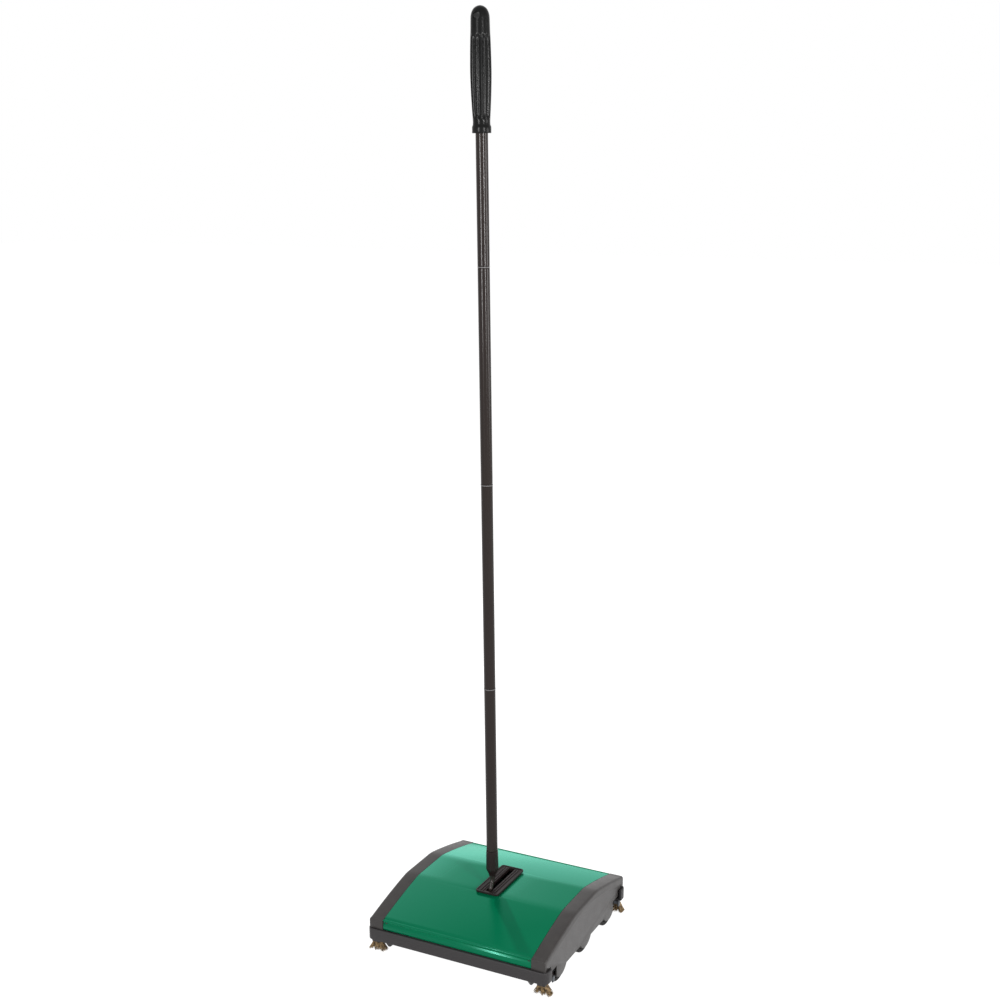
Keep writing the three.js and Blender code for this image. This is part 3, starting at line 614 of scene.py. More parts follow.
# %% Window for the slot plate
plate_low, plate_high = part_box("slot_plate")
SLOT_HALF_WIDTH = 4 * MM
SLOT_FRONT = -33 * MM
SLOT_REAR = 35 * MM
COLLAR = 1.5 * MM
PLATE_GAP = 0.3 * MM
window = block(
    "window_cutter",
    (-SLOT_HALF_WIDTH - COLLAR - PLATE_GAP, SLOT_FRONT - COLLAR - PLATE_GAP, CREST - 10 * MM),
    (SLOT_HALF_WIDTH + COLLAR + PLATE_GAP, SLOT_REAR + COLLAR + PLATE_GAP, CREST + 10 * MM),
)
cut_by(cover, window)
bevelled(cover, 0.25 * MM, 2, 60)
finish(cover, "head", green_enamel, "green_paint", "top_cover", angle=40)

# %% [markdown]
# ## End caps
# Each cap is an injection moulding: a band along the arch that turns down over a wide soft edge into
# the side panel, with a lobe over each wheel and a notch at each end for the pan lever. It could be
# built wall by wall, but one solid keeps the walls joined. So it is pulled from its side outline, its
# outer arch edge is bevelled, the hollow is cut out from inside, and the side panel is let in a little.

# %% Cap outline
CAP_Y = cap_high.y
CAP_OUTER = cap_high.x
CAP_INNER = cover_high.x + 0.3 * MM
CAP_WALL = 2.5 * MM
PANEL_BOTTOM = 15 * MM
wheel_low, wheel_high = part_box("tyre_rear_right")
WHEEL_RADIUS = (wheel_high.z - wheel_low.z) / 2
WHEEL_Y = (wheel_high.y + wheel_low.y) / 2
TYRE_SHOWN = 6.3 * MM
LOBE_RADIUS = WHEEL_RADIUS - TYRE_SHOWN
LOBE_STEPS = 14
CORNER_Y = bumper_high.y - 18.3 * MM
NOTCH_Y = CORNER_Y - 17 * MM
NOTCH_TOP = 25 * MM


def lobe(y, start_y=None, end_y=None):
    """The round bottom of a wheel cover, from rear to front."""
    half = math.sqrt(LOBE_RADIUS ** 2 - (WHEEL_RADIUS - PANEL_BOTTOM) ** 2)
    start_y = y + half if start_y is None else start_y
    end_y = y - half if end_y is None else end_y
    first = math.degrees(math.acos(min(1, (start_y - y) / LOBE_RADIUS)))
    last = math.degrees(math.acos(max(-1, (end_y - y) / LOBE_RADIUS)))
    return arc((y, WHEEL_RADIUS), LOBE_RADIUS, -first, -last, LOBE_STEPS)


def cap_outline():
    top = arch_line(CAP_Y, 60)
    return [
        (-CAP_Y, LIP_BOTTOM), *top, (CAP_Y, LIP_BOTTOM), (CORNER_Y, LIP_BOTTOM), (CORNER_Y, NOTCH_TOP),
        (NOTCH_Y, NOTCH_TOP),
        *lobe(WHEEL_Y, start_y=NOTCH_Y), *lobe(0), *lobe(-WHEEL_Y, end_y=-NOTCH_Y),
        (-NOTCH_Y, NOTCH_TOP), (-CORNER_Y, NOTCH_TOP), (-CORNER_Y, LIP_BOTTOM),
    ]


print("points in the cap outline:", len(cap_outline()))

# %% Cap moulding
SOFT_ARCH = 3.6 * MM
cap = pulled(
    "end_cap_moulding_right",
    [(CAP_INNER, y, z) for y, z in cap_outline()],
    (CAP_OUTER - CAP_INNER, 0, 0),
)


def on_outer_arch(edge):
    """True for the edges along which the arch meets the side panel."""
    return all(
        vert.co.x > CAP_OUTER - 1e-5
        and vert.co.z > CREASE - 6 * MM
        and abs(vert.co.z - arch(vert.co.y)) < 1e-4
        for vert in edge.verts
    )


edit(cap)
chosen = choose(cap, "EDGE", on_outer_arch)
bpy.ops.mesh.bevel(offset=SOFT_ARCH, segments=5, affect="EDGES", profile=0.6)
leave_edit()
print("edges in the soft arch bevel:", chosen)

# %% Cap hollow and side panel
hollow_y = CAP_Y - CAP_WALL
hollow = pulled(
    "hollow_cutter",
    [(CAP_INNER - 5 * MM, y, z) for y, z in [
        (-hollow_y, -5 * MM), *arch_line(hollow_y, 40, CAP_WALL), (hollow_y, -5 * MM),
    ]],
    (CAP_OUTER - CAP_WALL - CAP_INNER + 5 * MM, 0, 0),
)
RIM = 9.5 * MM
RIM_END = 6 * MM
PANEL_RECESS = 0.5 * MM
panel_recess = pulled(
    "recess_cutter",
    [(CAP_OUTER - PANEL_RECESS, y, z) for y, z in [
        (RIM_END - CAP_Y, -5 * MM), *arch_line(CAP_Y - RIM_END, 40, RIM), (CAP_Y - RIM_END, -5 * MM),
    ]],
    (5 * MM, 0, 0),
)
cut_by(cap, hollow, panel_recess)
bevelled(cap, 0.35 * MM, 3, 50)
finish(cap, "head", cap_plastic, "dark_plastic", "end_cap_right", angle=40)
cap_left = twin(cap, "end_cap_moulding_left", flip=(-1, 1, 1))
finish(cap_left, "head", cap_plastic, "dark_plastic", "end_cap_left", angle=40)

# %% [markdown]
# ## Bumpers
# A plain strip that wraps round both corners and protects furniture. Its two shelves carry the corner
# brushes. A box could be bent round, but its wall would stretch at the corners. So the strip is pulled up
# from its plan, its edges are rounded, and a block is joined on for each shelf.

# %% Bumper strips
BUMPER_WALL = 4 * MM
BUMPER_CORNER = 8 * MM
RETURN_Y = bumper_low.y
BUMPER_RISE = 0.7 * MM


def bumper_plan():
    half, back = bumper_high.x, bumper_high.y
    inner = BUMPER_CORNER - BUMPER_WALL
    right = (half - BUMPER_CORNER, back - BUMPER_CORNER)
    left = (-right[0], right[1])
    return [
        (half, RETURN_Y), *arc(right, BUMPER_CORNER, 0, 90, 8), *arc(left, BUMPER_CORNER, 90, 180, 8),
        (-half, RETURN_Y), (BUMPER_WALL - half, RETURN_Y),
        *arc(left, inner, 180, 90, 6), *arc(right, inner, 90, 0, 6), (half - BUMPER_WALL, RETURN_Y),
    ]


bumper = pulled(
    "bumper_strip_rear",
    [(x, y, bumper_low.z) for x, y in bumper_plan()],
    (0, 0, bumper_high.z + BUMPER_RISE - bumper_low.z),
)
bevelled(bumper, 1.1 * MM, 4, 50)
shelf_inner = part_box("side_frame_right")[1].x + 2 * MM
shelves = []
for side in (-1, 1):
    corners = sorted((side * shelf_inner, side * (bumper_high.x - BUMPER_WALL + 0.5 * MM)))
    shelf = block(
        "shelf",
        (corners[0], RETURN_Y, bumper_low.z),
        (corners[1], bumper_high.y - 3 * MM, bumper_low.z + 2.5 * MM),
    )
    shelves.append(bevelled(shelf, 0.3 * MM, 2))
bumper = merged("bumper_strip_rear", [bumper, *shelves])
finish(bumper, "head", bumper_plastic, "dark_plastic", "bumper_rear", angle=40)
front_bumper = twin(bumper, "bumper_strip_front", flip=(1, -1, 1))
finish(front_bumper, "head", bumper_plastic, "dark_plastic", "bumper_front", angle=40)

# %% [markdown]
# ## Slot plate
# A glossy black moulding with a raised rim and two ribs on each side of the slot. A separate ring could
# make the rim, but an inset of the top face that is pushed down leaves it in one piece with the plate.
# The ribs and the collar below are joined on, and the slot is then cut through with a rounded block.

# %% Slot plate moulding
PLATE_BASE = CREST + 0.3 * MM
plate_half = plate_high.x
plate_length = plate_high.y


def round_outline(half_x, half_y, radius, steps=6):
    corners = [(1, 1, 0), (-1, 1, 90), (-1, -1, 180), (1, -1, 270)]
    points = []
    for sx, sy, start in corners:
        points += arc((sx * (half_x - radius), sy * (half_y - radius)), radius, start, start + 90, steps)
    return points


plate = pulled(
    "slot_plate_moulding",
    [(x, y, PLATE_BASE) for x, y in round_outline(plate_half, plate_length, 4 * MM)],
    (0, 0, plate_high.z - PLATE_BASE),
)
edit(plate)
choose(plate, "FACE", lambda face: face.normal.z > 0.9)
bpy.ops.mesh.inset(thickness=1.7 * MM)
push((0, 0, -0.9 * MM))
leave_edit()
bevelled(plate, 0.35 * MM, 3, 40)
print("slot plate blank:", len(plate.data.polygons), "faces")

# %% Collar, ribs and slot
collar = block(
    "collar", (-SLOT_HALF_WIDTH - COLLAR, SLOT_FRONT - COLLAR, plate_low.z),
    (SLOT_HALF_WIDTH + COLLAR, SLOT_REAR + COLLAR, PLATE_BASE + 0.5 * MM),
)
ribs = []
for offset in (6.2 * MM, 9.6 * MM):
    for side in (-1, 1):
        rib = block(
            "rib", (side * offset - 0.6 * MM, -plate_length + 4 * MM, PLATE_BASE + 1 * MM),
            (side * offset + 0.6 * MM, plate_length - 4 * MM, plate_high.z - 0.1 * MM),
        )
        ribs.append(bevelled(rib, 0.4 * MM, 3))
for addition in (collar, *ribs):
    use_modifier(plate, "BOOLEAN", operation="UNION", solver="EXACT", object=addition)
    bpy.data.objects.remove(addition)
slot_middle = (SLOT_FRONT + SLOT_REAR) / 2
slot_half = (SLOT_REAR - SLOT_FRONT) / 2
slot_outline = round_outline(SLOT_HALF_WIDTH, slot_half, 1.2 * MM, 4)
slot_cutter = pulled(
    "slot_cutter",
    [(x, y + slot_middle, CREST - 20 * MM) for x, y in slot_outline],
    (0, 0, 40 * MM),
)
cut_by(plate, slot_cutter)
finish(plate, "head", slot_plastic, "black_plastic", "slot_plate")

# %% [markdown]
# ## Corner brushes
# Stiff bristles stapled into a small holder reach out past each corner, to sweep along skirting boards.
# A hair system could grow them, but an exported model needs solid ones. So one bristle is made as a
# thin bent cone, and it is copied with small seeded changes into three splayed tufts.

# %% One bristle
random.seed(7)
brush_low, brush_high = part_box("corner_brush_rear_right")


def one_bristle(name, length, radius):
    deselect()
    bpy.ops.mesh.primitive_cone_add(
        vertices=5, radius1=radius, radius2=radius * 0.45, depth=length, location=(0, 0, length / 2),
    )
    bristle_piece = bpy.context.object
    bristle_piece.name = name
    bpy.ops.object.transform_apply(location=True, rotation=True, scale=True)
    bpy.ops.object.mode_set(mode="EDIT")
    bpy.ops.mesh.select_all(action="SELECT")
    bpy.ops.mesh.bisect(plane_co=(0, 0, length * 0.55), plane_no=(0, 0, 1))
    choose(bristle_piece, "VERT", lambda vert: vert.co.z > length * 0.9)
    bpy.ops.transform.translate(value=(length * 0.07, 0, 0))
    leave_edit()
    return bristle_piece


def copies_of(source, places):
    """Copies with their own mesh, each moved by a matrix."""
    result = []
    for place_matrix in places:
        copy = source.copy()
        copy.data = source.data.copy()
        copy.data.transform(place_matrix)
        scene.collection.objects.link(copy)
        result.append(copy)
    return result


# %% Tufts at one corner
HOLDER_TOP = brush_high.z
HOLDER_HEIGHT = 4 * MM
BRUSH_X = bumper_high.x - 9.8 * MM
BRUSH_Y = bumper_high.y - 9.8 * MM
ROOT_Z = HOLDER_TOP - HOLDER_HEIGHT + 1.5 * MM
BRUSH_LIFT = brush_low.z
TUFTS_AT_CORNER = ((-1, -0.34), (0, 0.04), (1, 0.46))
BRISTLES_IN_TUFT = 130
TUFT_STEP = 3.1 * MM
TUFT_HALF_WIDTH = 1.7 * MM
TUFT_HALF_LENGTH = 3.4 * MM
bristle_source = one_bristle("corner_bristle_source", 1.0, 0.021)
places = []
for lane, tilt in TUFTS_AT_CORNER:
    for _ in range(BRISTLES_IN_TUFT):
        spin = random.uniform(0, 2 * math.pi)
        spread = math.sqrt(random.random())
        root = Vector((
            BRUSH_X + lane * TUFT_STEP + TUFT_HALF_WIDTH * spread * math.cos(spin),
            BRUSH_Y + TUFT_HALF_LENGTH * spread * math.sin(spin),
            ROOT_Z,
        ))
        reach = root.z - BRUSH_LIFT - random.uniform(0, 0.9 * MM)
        lean_x = tilt + 0.13 * spread * math.cos(spin) + random.uniform(-0.05, 0.05)
        lean_y = 0.16 * spread * math.sin(spin) + random.uniform(-0.04, 0.04) - 0.1
        tip = root + Vector((math.tan(lean_x) * reach, math.tan(lean_y) * reach, -reach))
        tip.x = min(tip.x, brush_high.x - 1.4 * MM)
        tip.y = min(tip.y, bumper_high.y - 1.2 * MM)
        along = tip - root
        turn = along.to_track_quat("Z", "Y").to_matrix().to_4x4()
        roll = Matrix.Rotation(random.uniform(0, 2 * math.pi), 4, "Z")
        length = along.length * 0.985
        places.append(Matrix.Translation(root) @ turn @ roll @ Matrix.Scale(length, 4))
tuft_pieces = copies_of(bristle_source, places)
bpy.data.objects.remove(bristle_source)
corner_tufts = merged("corner_tufts_rear_right", tuft_pieces)
print("bristles at one corner:", len(places))

# %% Brush holder
holder = block(
    "brush_holder_rear_right", (BRUSH_X - 5.4 * MM, BRUSH_Y - 5.2 * MM, HOLDER_TOP - HOLDER_HEIGHT),
    (BRUSH_X + 5.4 * MM, BRUSH_Y + 5.2 * MM, HOLDER_TOP),
)
edit(holder)
choose(holder, "FACE", lambda face: face.normal.z < -0.9)
bpy.ops.mesh.inset(thickness=1.1 * MM)
push((0, 0, 0.8 * MM))
leave_edit()
bevelled(holder, 0.5 * MM, 3)

# %% The four corners
for end_name, end in (("rear", 1), ("front", -1)):
    for side_name, side in (("right", 1), ("left", -1)):
        corner = f"{end_name}_{side_name}"
        tufts, base = corner_tufts, holder
        if corner != "rear_right":
            tufts = twin(corner_tufts, f"corner_tufts_{corner}", flip=(side, end, 1))
            base = twin(holder, f"brush_holder_{corner}", flip=(side, end, 1))
        finish(tufts, "head", corner_bristle, "bristle", f"corner_brush_{corner}")
        finish(base, "head", bumper_plastic, "dark_plastic", f"corner_brush_{corner}")

# %% [markdown]
# ## Wheels
# Each wheel is a dished plastic hub with spokes and a grooved rubber tyre. The tyre does two jobs: it
# carries the head and turns the drum of the roller that it presses on. A torus could stand for the
# tyre, but it has no grooves or shoulders, so both profiles are spun. One of each is made and copied.

# %% Hub and tyre
WHEEL_WIDTH = wheel_high.x - wheel_low.x
hub_low, hub_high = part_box("wheel_hub_rear_right")
HUB_RADIUS = (hub_high.z - hub_low.z) / 2
BORE = 2.8 * MM
TYRE_INNER = HUB_RADIUS + 0.3 * MM
SHOULDER = 1.5 * MM
hub_half = (hub_high.x - hub_low.x) / 2
tyre_half = WHEEL_WIDTH / 2
HUB_RECESS = 2.1 * MM
GROOVE_STEP = 1.9 * MM
GROOVE_DEPTH = 0.7 * MM
SPOKES = 6


def tyre_profile():
    edge = WHEEL_RADIUS - SHOULDER
    profile = [(TYRE_INNER, -tyre_half + 0.4 * MM), (TYRE_INNER + 0.4 * MM, -tyre_half)]
    profile += [(r, h) for h, r in arc((-tyre_half + SHOULDER, edge), SHOULDER, 180, 90, 5)]
    for groove in (-GROOVE_STEP, 0, GROOVE_STEP):
        profile += [
            (WHEEL_RADIUS, groove - 0.5 * MM), (WHEEL_RADIUS - GROOVE_DEPTH, groove - 0.25 * MM),
            (WHEEL_RADIUS - GROOVE_DEPTH, groove + 0.25 * MM), (WHEEL_RADIUS, groove + 0.5 * MM),
        ]
    profile += [(r, h) for h, r in arc((tyre_half - SHOULDER, edge), SHOULDER, 90, 0, 5)]
    profile += [(TYRE_INNER + 0.4 * MM, tyre_half), (TYRE_INNER, tyre_half - 0.4 * MM)]
    return ring(profile)


tyre_source = spun("tyre_source", tyre_profile(), 72)
hub_source = spun("hub_source", ring([
    (BORE, -hub_half), (HUB_RADIUS - 0.4 * MM, -hub_half), (HUB_RADIUS, 0.4 * MM - hub_half),
    (HUB_RADIUS, hub_half - 0.4 * MM), (HUB_RADIUS - 0.4 * MM, hub_half),
    (HUB_RADIUS - 2.2 * MM, hub_half),
    (HUB_RADIUS - 2.6 * MM, hub_half - 3.4 * MM), (BORE + 3.6 * MM, hub_half - 3.8 * MM),
    (BORE + 3.0 * MM, hub_half - HUB_RECESS), (BORE, hub_half - HUB_RECESS),
]), 64)
spokes = []
for i in range(SPOKES):
    spoke = block(
        "spoke", (BORE + 2.6 * MM, -0.8 * MM, hub_half - 4.4 * MM),
        (HUB_RADIUS - 2.0 * MM, 0.8 * MM, hub_half - HUB_RECESS - 0.3 * MM),
    )
    bevelled(spoke, 0.3 * MM, 2)
    spokes.append(settle(spoke, rotation=(0, 0, i * 2 * math.pi / SPOKES)))
hub_source = merged("hub_source", [hub_source, *spokes])
laid_across(tyre_source)
laid_across(hub_source)
print("tyre radius in mm:", round(WHEEL_RADIUS / MM, 1))

# %% Six wheels
for row in ("front", "middle", "rear"):
    for side_name, side in (("right", 1), ("left", -1)):
        low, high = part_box(f"tyre_{row}_{side_name}")
        centre = (low + high) / 2
        body = f"wheel_{row}_{side_name}"
        tyre = twin(tyre_source, f"grooved_tyre_{row}_{side_name}", move=centre)
        wheel_hub = twin(hub_source, f"spoked_hub_{row}_{side_name}", flip=(side, 1, 1), move=centre)
        finish(tyre, body, tyre_rubber, "black_rubber", f"tyre_{row}_{side_name}")
        finish(wheel_hub, body, slot_plastic, "black_plastic", f"wheel_hub_{row}_{side_name}")
bpy.data.objects.remove(tyre_source)
bpy.data.objects.remove(hub_source)

# %% [markdown]
# ## Brush rollers
# A steel shaft carries a plastic core whose two ends are the drums that the tyres turn. Tufts of bristle
# stand in winding rows, so that the roller sweeps smoothly. A solid brush shape would be quicker, but it
# hides the gaps between the rows, so one tuft is made and set into every place along them.

# %% Roller core and shaft
core_low, core_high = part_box("roller_core_rear")
ROLLER_Y = (core_low.y + core_high.y) / 2
ROLLER_Z = (core_low.z + core_high.z) / 2
DRUM_RADIUS = (core_high.y - core_low.y) / 2
CORE_RADIUS = 8 * MM
NECK_RADIUS = 5 * MM
frame_low, frame_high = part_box("side_frame_right")


def core_profile():
    neck_in = frame_low.x - 1.3 * MM
    drum_in = frame_high.x + 1.3 * MM
    end = core_high.x
    half = [
        (2.8 * MM, end), (DRUM_RADIUS - 0.5 * MM, end), (DRUM_RADIUS, end - 0.5 * MM),
        (DRUM_RADIUS, drum_in + 0.5 * MM), (DRUM_RADIUS - 0.5 * MM, drum_in), (NECK_RADIUS, drum_in),
        (NECK_RADIUS, neck_in), (CORE_RADIUS - 0.4 * MM, neck_in), (CORE_RADIUS, neck_in - 0.4 * MM),
    ]
    return ring([*half, *[(r, -x) for r, x in reversed(half)]])


core_source = laid_across(spun("core_source", core_profile(), 56))
shaft_low, shaft_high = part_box("roller_shaft_rear")
SHAFT_RADIUS = (shaft_high.z - shaft_low.z) / 2
shaft_source = laid_across(spun("shaft_source", [
    (0, shaft_low.x), (SHAFT_RADIUS - 0.5 * MM, shaft_low.x), (SHAFT_RADIUS, shaft_low.x + 0.5 * MM),
    (SHAFT_RADIUS, shaft_high.x - 0.5 * MM), (SHAFT_RADIUS - 0.5 * MM, shaft_high.x), (0, shaft_high.x),
], 40))
print("drum radius in mm:", round(DRUM_RADIUS / MM, 1))

# %% Roller tufts
TUFT_ROWS = 6
TUFTS_IN_ROW = 36
BRISTLES_IN_ROLLER_TUFT = 9
BRISTLE_ROOT = 0.8 * MM
BRISTLE_TURNS = 0.75
bristles_low, bristles_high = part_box("roller_bristles_rear")
BRISTLE_REACH = (bristles_high.x - bristles_low.x) / 2 - 2.5 * MM
TIP_RADIUS = ROLLER_Z - 0.55 * MM
roller_source = one_bristle("roller_bristle_source", TIP_RADIUS - CORE_RADIUS + BRISTLE_ROOT, 0.24 * MM)
tuft_places = []
for _ in range(BRISTLES_IN_ROLLER_TUFT):
    spin = random.uniform(0, 2 * math.pi)
    spread = math.sqrt(random.random())
    tuft_places.append(
        Matrix.Translation((1.5 * MM * spread * math.cos(spin), 1.1 * MM * spread * math.sin(spin), 0))
        @ Matrix.Rotation(0.09 * spread * math.cos(spin), 4, "Y")
        @ Matrix.Rotation(-0.07 * spread * math.sin(spin), 4, "X")
        @ Matrix.Rotation(random.uniform(0, 6.3), 4, "Z")
        @ Matrix.Scale(random.uniform(0.93, 0.985), 4)
    )
tuft_source = merged("tuft_source", copies_of(roller_source, tuft_places))
bpy.data.objects.remove(roller_source)
print("tufts on one roller:", TUFT_ROWS * TUFTS_IN_ROW)


# %% Both rollers
def roller_places(hand):
    """The places of the tufts along rows that wind one way or the other."""
    result = []
    for row in range(TUFT_ROWS):
        for i in range(TUFTS_IN_ROW):
            share = i / (TUFTS_IN_ROW - 1)
            turns = row / TUFT_ROWS + hand * BRISTLE_TURNS * share
            angle = 2 * math.pi * turns + random.uniform(-0.03, 0.03)
            result.append(
                Matrix.Translation((BRISTLE_REACH * (2 * share - 1), 0, 0))
                @ Matrix.Rotation(angle, 4, "X")
                @ Matrix.Translation((0, 0, CORE_RADIUS - BRISTLE_ROOT))
                @ Matrix.Rotation(random.uniform(0, math.pi), 4, "Z")
            )
    return result


for end_name, end in (("rear", 1), ("front", -1)):
    centre = Vector((0, end * ROLLER_Y, ROLLER_Z))
    body = f"{end_name}_roller"
    core = twin(core_source, f"drum_core_{end_name}", move=centre)
    shaft = twin(shaft_source, f"roller_rod_{end_name}", move=centre)
    tufts = merged(f"bristle_rows_{end_name}", copies_of(tuft_source, roller_places(end)))
    settle(tufts, location=centre)
    finish(core, body, slot_plastic, "black_plastic", f"roller_core_{end_name}")
    finish(shaft, body, bright_steel, "steel", f"roller_shaft_{end_name}")
    finish(tufts, body, roller_bristle, "bristle", f"roller_bristles_{end_name}")
for source in (core_source, shaft_source, tuft_source):
    bpy.data.objects.remove(source)

# %% [markdown]
# ## Dirt pans
# Each pan is a thin tray that is open towards its roller. It could be put together from flat sheets, but
# then its corners would not meet. So two faces of a box are taken away, the walls get their thickness
# from Solidify, and the stub pins and thumb levers are added at both ends.

# %% Pan tray
PAN_WALL = 1.5 * MM
PAN_SLOPE = 6 * MM
PAN_BEND = 5.2 * MM
pan_low, pan_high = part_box("dirt_pan_rear")
PAN_HALF = frame_low.x - 3.8 * MM
PAN_OUTER_Y = pan_high.y
PAN_INNER_Y = pan_low.y
PIVOT_Y = PAN_OUTER_Y - 3 * MM
PIVOT_Z = pan_low.z + 3.5 * MM
pan = block("pan_tray", (-PAN_HALF, PAN_INNER_Y, pan_low.z), (PAN_HALF, PAN_OUTER_Y, pan_high.z))
edit(pan)
choose(pan, "FACE", lambda face: face.normal.z > 0.9 or face.normal.y < -0.9)
bpy.ops.mesh.delete(type="FACE")
choose(pan, "VERT", lambda vert: vert.co.z > pan_high.z - 1e-5 and vert.co.y < PAN_INNER_Y + 1e-5)
bpy.ops.transform.translate(value=(0, PAN_SLOPE, 0))
choose(pan, "EDGE", lambda edge: all(
    vert.co.y > PAN_OUTER_Y - 1e-5 and vert.co.z < pan_low.z + 1e-5 for vert in edge.verts
))
bpy.ops.mesh.bevel(offset_type="OFFSET", offset=PAN_BEND, segments=4, affect="EDGES", profile=0.45)
leave_edit()
use_modifier(pan, "SOLIDIFY", thickness=PAN_WALL, offset=-1, use_even_offset=True)
bevelled(pan, 0.4 * MM, 3)
print("pan tray:", len(pan.data.polygons), "faces")

# %% Lip, stub pins and thumb levers
LEVER_NEAR = 4.6 * MM
LEVER_FAR = 7.2 * MM
LEVER_LOW = 3.0 * MM
LEVER_HIGH = 6.4 * MM
STUB_RADIUS = 2 * MM
STUB_START = PAN_HALF - 1 * MM
pan_parts = [pan]
lip = block(
    "pan_lip", (-PAN_HALF + 1 * MM, PAN_INNER_Y, pan_low.z + 1 * MM),
    (PAN_HALF - 1 * MM, PAN_INNER_Y + 1.3 * MM, pan_low.z + PAN_WALL + 2 * MM),
)
pan_parts.append(bevelled(lip, 0.5 * MM, 3))
for side in (-1, 1):
    stub = spun("stub", [
        (0, STUB_START), (STUB_RADIUS, STUB_START), (STUB_RADIUS, frame_high.x),
        (1.7 * MM, frame_high.x + 0.3 * MM), (0, frame_high.x + 0.3 * MM),
    ], 32)
    laid_across(stub, side, (0, PIVOT_Y, PIVOT_Z))
    xs = sorted((side * STUB_START, side * (CAP_OUTER + 2 * MM)))
    lever = block(
        "lever",
        (xs[0], PIVOT_Y - LEVER_FAR, PIVOT_Z + LEVER_LOW),
        (xs[1], PIVOT_Y - LEVER_NEAR, PIVOT_Z + LEVER_HIGH),
    )
    xs = sorted((side * (CAP_OUTER + 0.8 * MM), side * (bumper_high.x - 0.2 * MM)))
    pad = block(
        "pad",
        (xs[0], PIVOT_Y - LEVER_FAR - 2 * MM, PIVOT_Z + LEVER_LOW - 2 * MM),
        (xs[1], PIVOT_Y - LEVER_NEAR + 0.6 * MM, PIVOT_Z + LEVER_HIGH + 1.6 * MM),
    )
    pan_parts += [stub, bevelled(lever, 0.5 * MM, 3), bevelled(pad, 0.8 * MM, 3)]

# %% Both pans
pan = merged("dirt_tray_rear", pan_parts)
front_pan = twin(pan, "dirt_tray_front", flip=(1, -1, 1))
finish(pan, "rear_pan", pan_plastic, "grey_plastic", "dirt_pan_rear")
finish(front_pan, "front_pan", pan_plastic, "grey_plastic", "dirt_pan_front")

# %% [markdown]
# ## The handle's axis
# The handle leans a little forward. Its axis runs through the middles of the lowest and highest joint
# rings, so every turned piece of the handle is made upright and then laid onto that line.


# %% Handle axis
def middle_of(node):
    low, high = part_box(node)
    return (low + high) / 2


low_ring = middle_of("joint_ring_1")
high_ring = middle_of("joint_ring_3")
axis_direction = (high_ring - low_ring).normalized()
HANDLE_LEAN = math.atan2(-axis_direction.y, axis_direction.z)


def along_axis(height):
    """Distance along the handle from the point of the axis at floor level."""
    return height / math.cos(HANDLE_LEAN)


axis_foot = low_ring - axis_direction * along_axis(low_ring.z)


def onto_handle(piece):
    return settle(piece, location=axis_foot, rotation=(HANDLE_LEAN, 0, 0))


print("handle lean in degrees:", round(math.degrees(HANDLE_LEAN), 2))

# %% [markdown]
# ## Tubes, rings and ferrule
# The handle is four short steel tubes that plug into each other, with a moulded ring at each joint. A
# plain cylinder would have sharp ends and no wall. Each tube is a turned profile instead, with a tiny
# chamfer at its ends, which catches the light at the joints, and a thinner spigot below.

# %% Tubes
tube_low, tube_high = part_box("handle_tube_2")
TUBE_RADIUS = (tube_high.x - tube_low.x) / 2
TUBE_WALL = 0.9 * MM
RING_HALF = 0.6 * MM
JOINT_GAP = 0.3 * MM
TUBE_IN_GRIP = 34 * MM
ferrule_low, ferrule_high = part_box("ferrule")
ferrule_top = along_axis(ferrule_high.z) - 0.2 * MM
grip_low, grip_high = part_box("hand_grip")
ring_places = [along_axis(middle_of(f"joint_ring_{number}").z) for number in (1, 2, 3)]
tube_starts = [ferrule_top + JOINT_GAP, *[place + RING_HALF + JOINT_GAP for place in ring_places]]
tube_stops = [
    *[place - RING_HALF - JOINT_GAP for place in ring_places],
    along_axis(grip_high.z - TUBE_IN_GRIP),
]
SPIGOT = 24 * MM
FERRULE_SPIGOT = 11 * MM
CHAMFER = 0.45 * MM
inner = TUBE_RADIUS - TUBE_WALL
for number, (bottom, top) in enumerate(zip(tube_starts, tube_stops), 1):
    spigot = FERRULE_SPIGOT if number == 1 else SPIGOT
    tube = spun(f"steel_tube_{number}", ring([
        (inner - 1.2 * MM, bottom - spigot), (inner - 0.3 * MM, bottom - spigot),
        (inner - 0.3 * MM, bottom), (TUBE_RADIUS - CHAMFER, bottom), (TUBE_RADIUS, bottom + CHAMFER),
        (TUBE_RADIUS, (bottom + top) / 2), (TUBE_RADIUS, top - CHAMFER), (TUBE_RADIUS - CHAMFER, top),
        (inner, top), (inner, bottom + 2 * MM), (inner - 1.2 * MM, bottom),
    ]), 64)
    finish(onto_handle(tube), "handle", tube_enamel, "black_tube", f"handle_tube_{number}")

# %% Joint rings
RING_ROUND = 0.2 * MM
outer = TUBE_RADIUS + 0.25 * MM
for number, middle in enumerate(ring_places, 1):
    bottom = middle - RING_HALF
    top = middle + RING_HALF
    collar_ring = spun(f"tube_collar_{number}", ring([
        (inner, bottom), (outer - RING_ROUND, bottom), (outer, bottom + RING_ROUND),
        (outer, top - RING_ROUND), (outer - RING_ROUND, top), (inner, top),
    ]), 64)
    finish(onto_handle(collar_ring), "handle", collar_plastic, "light_plastic", f"joint_ring_{number}")

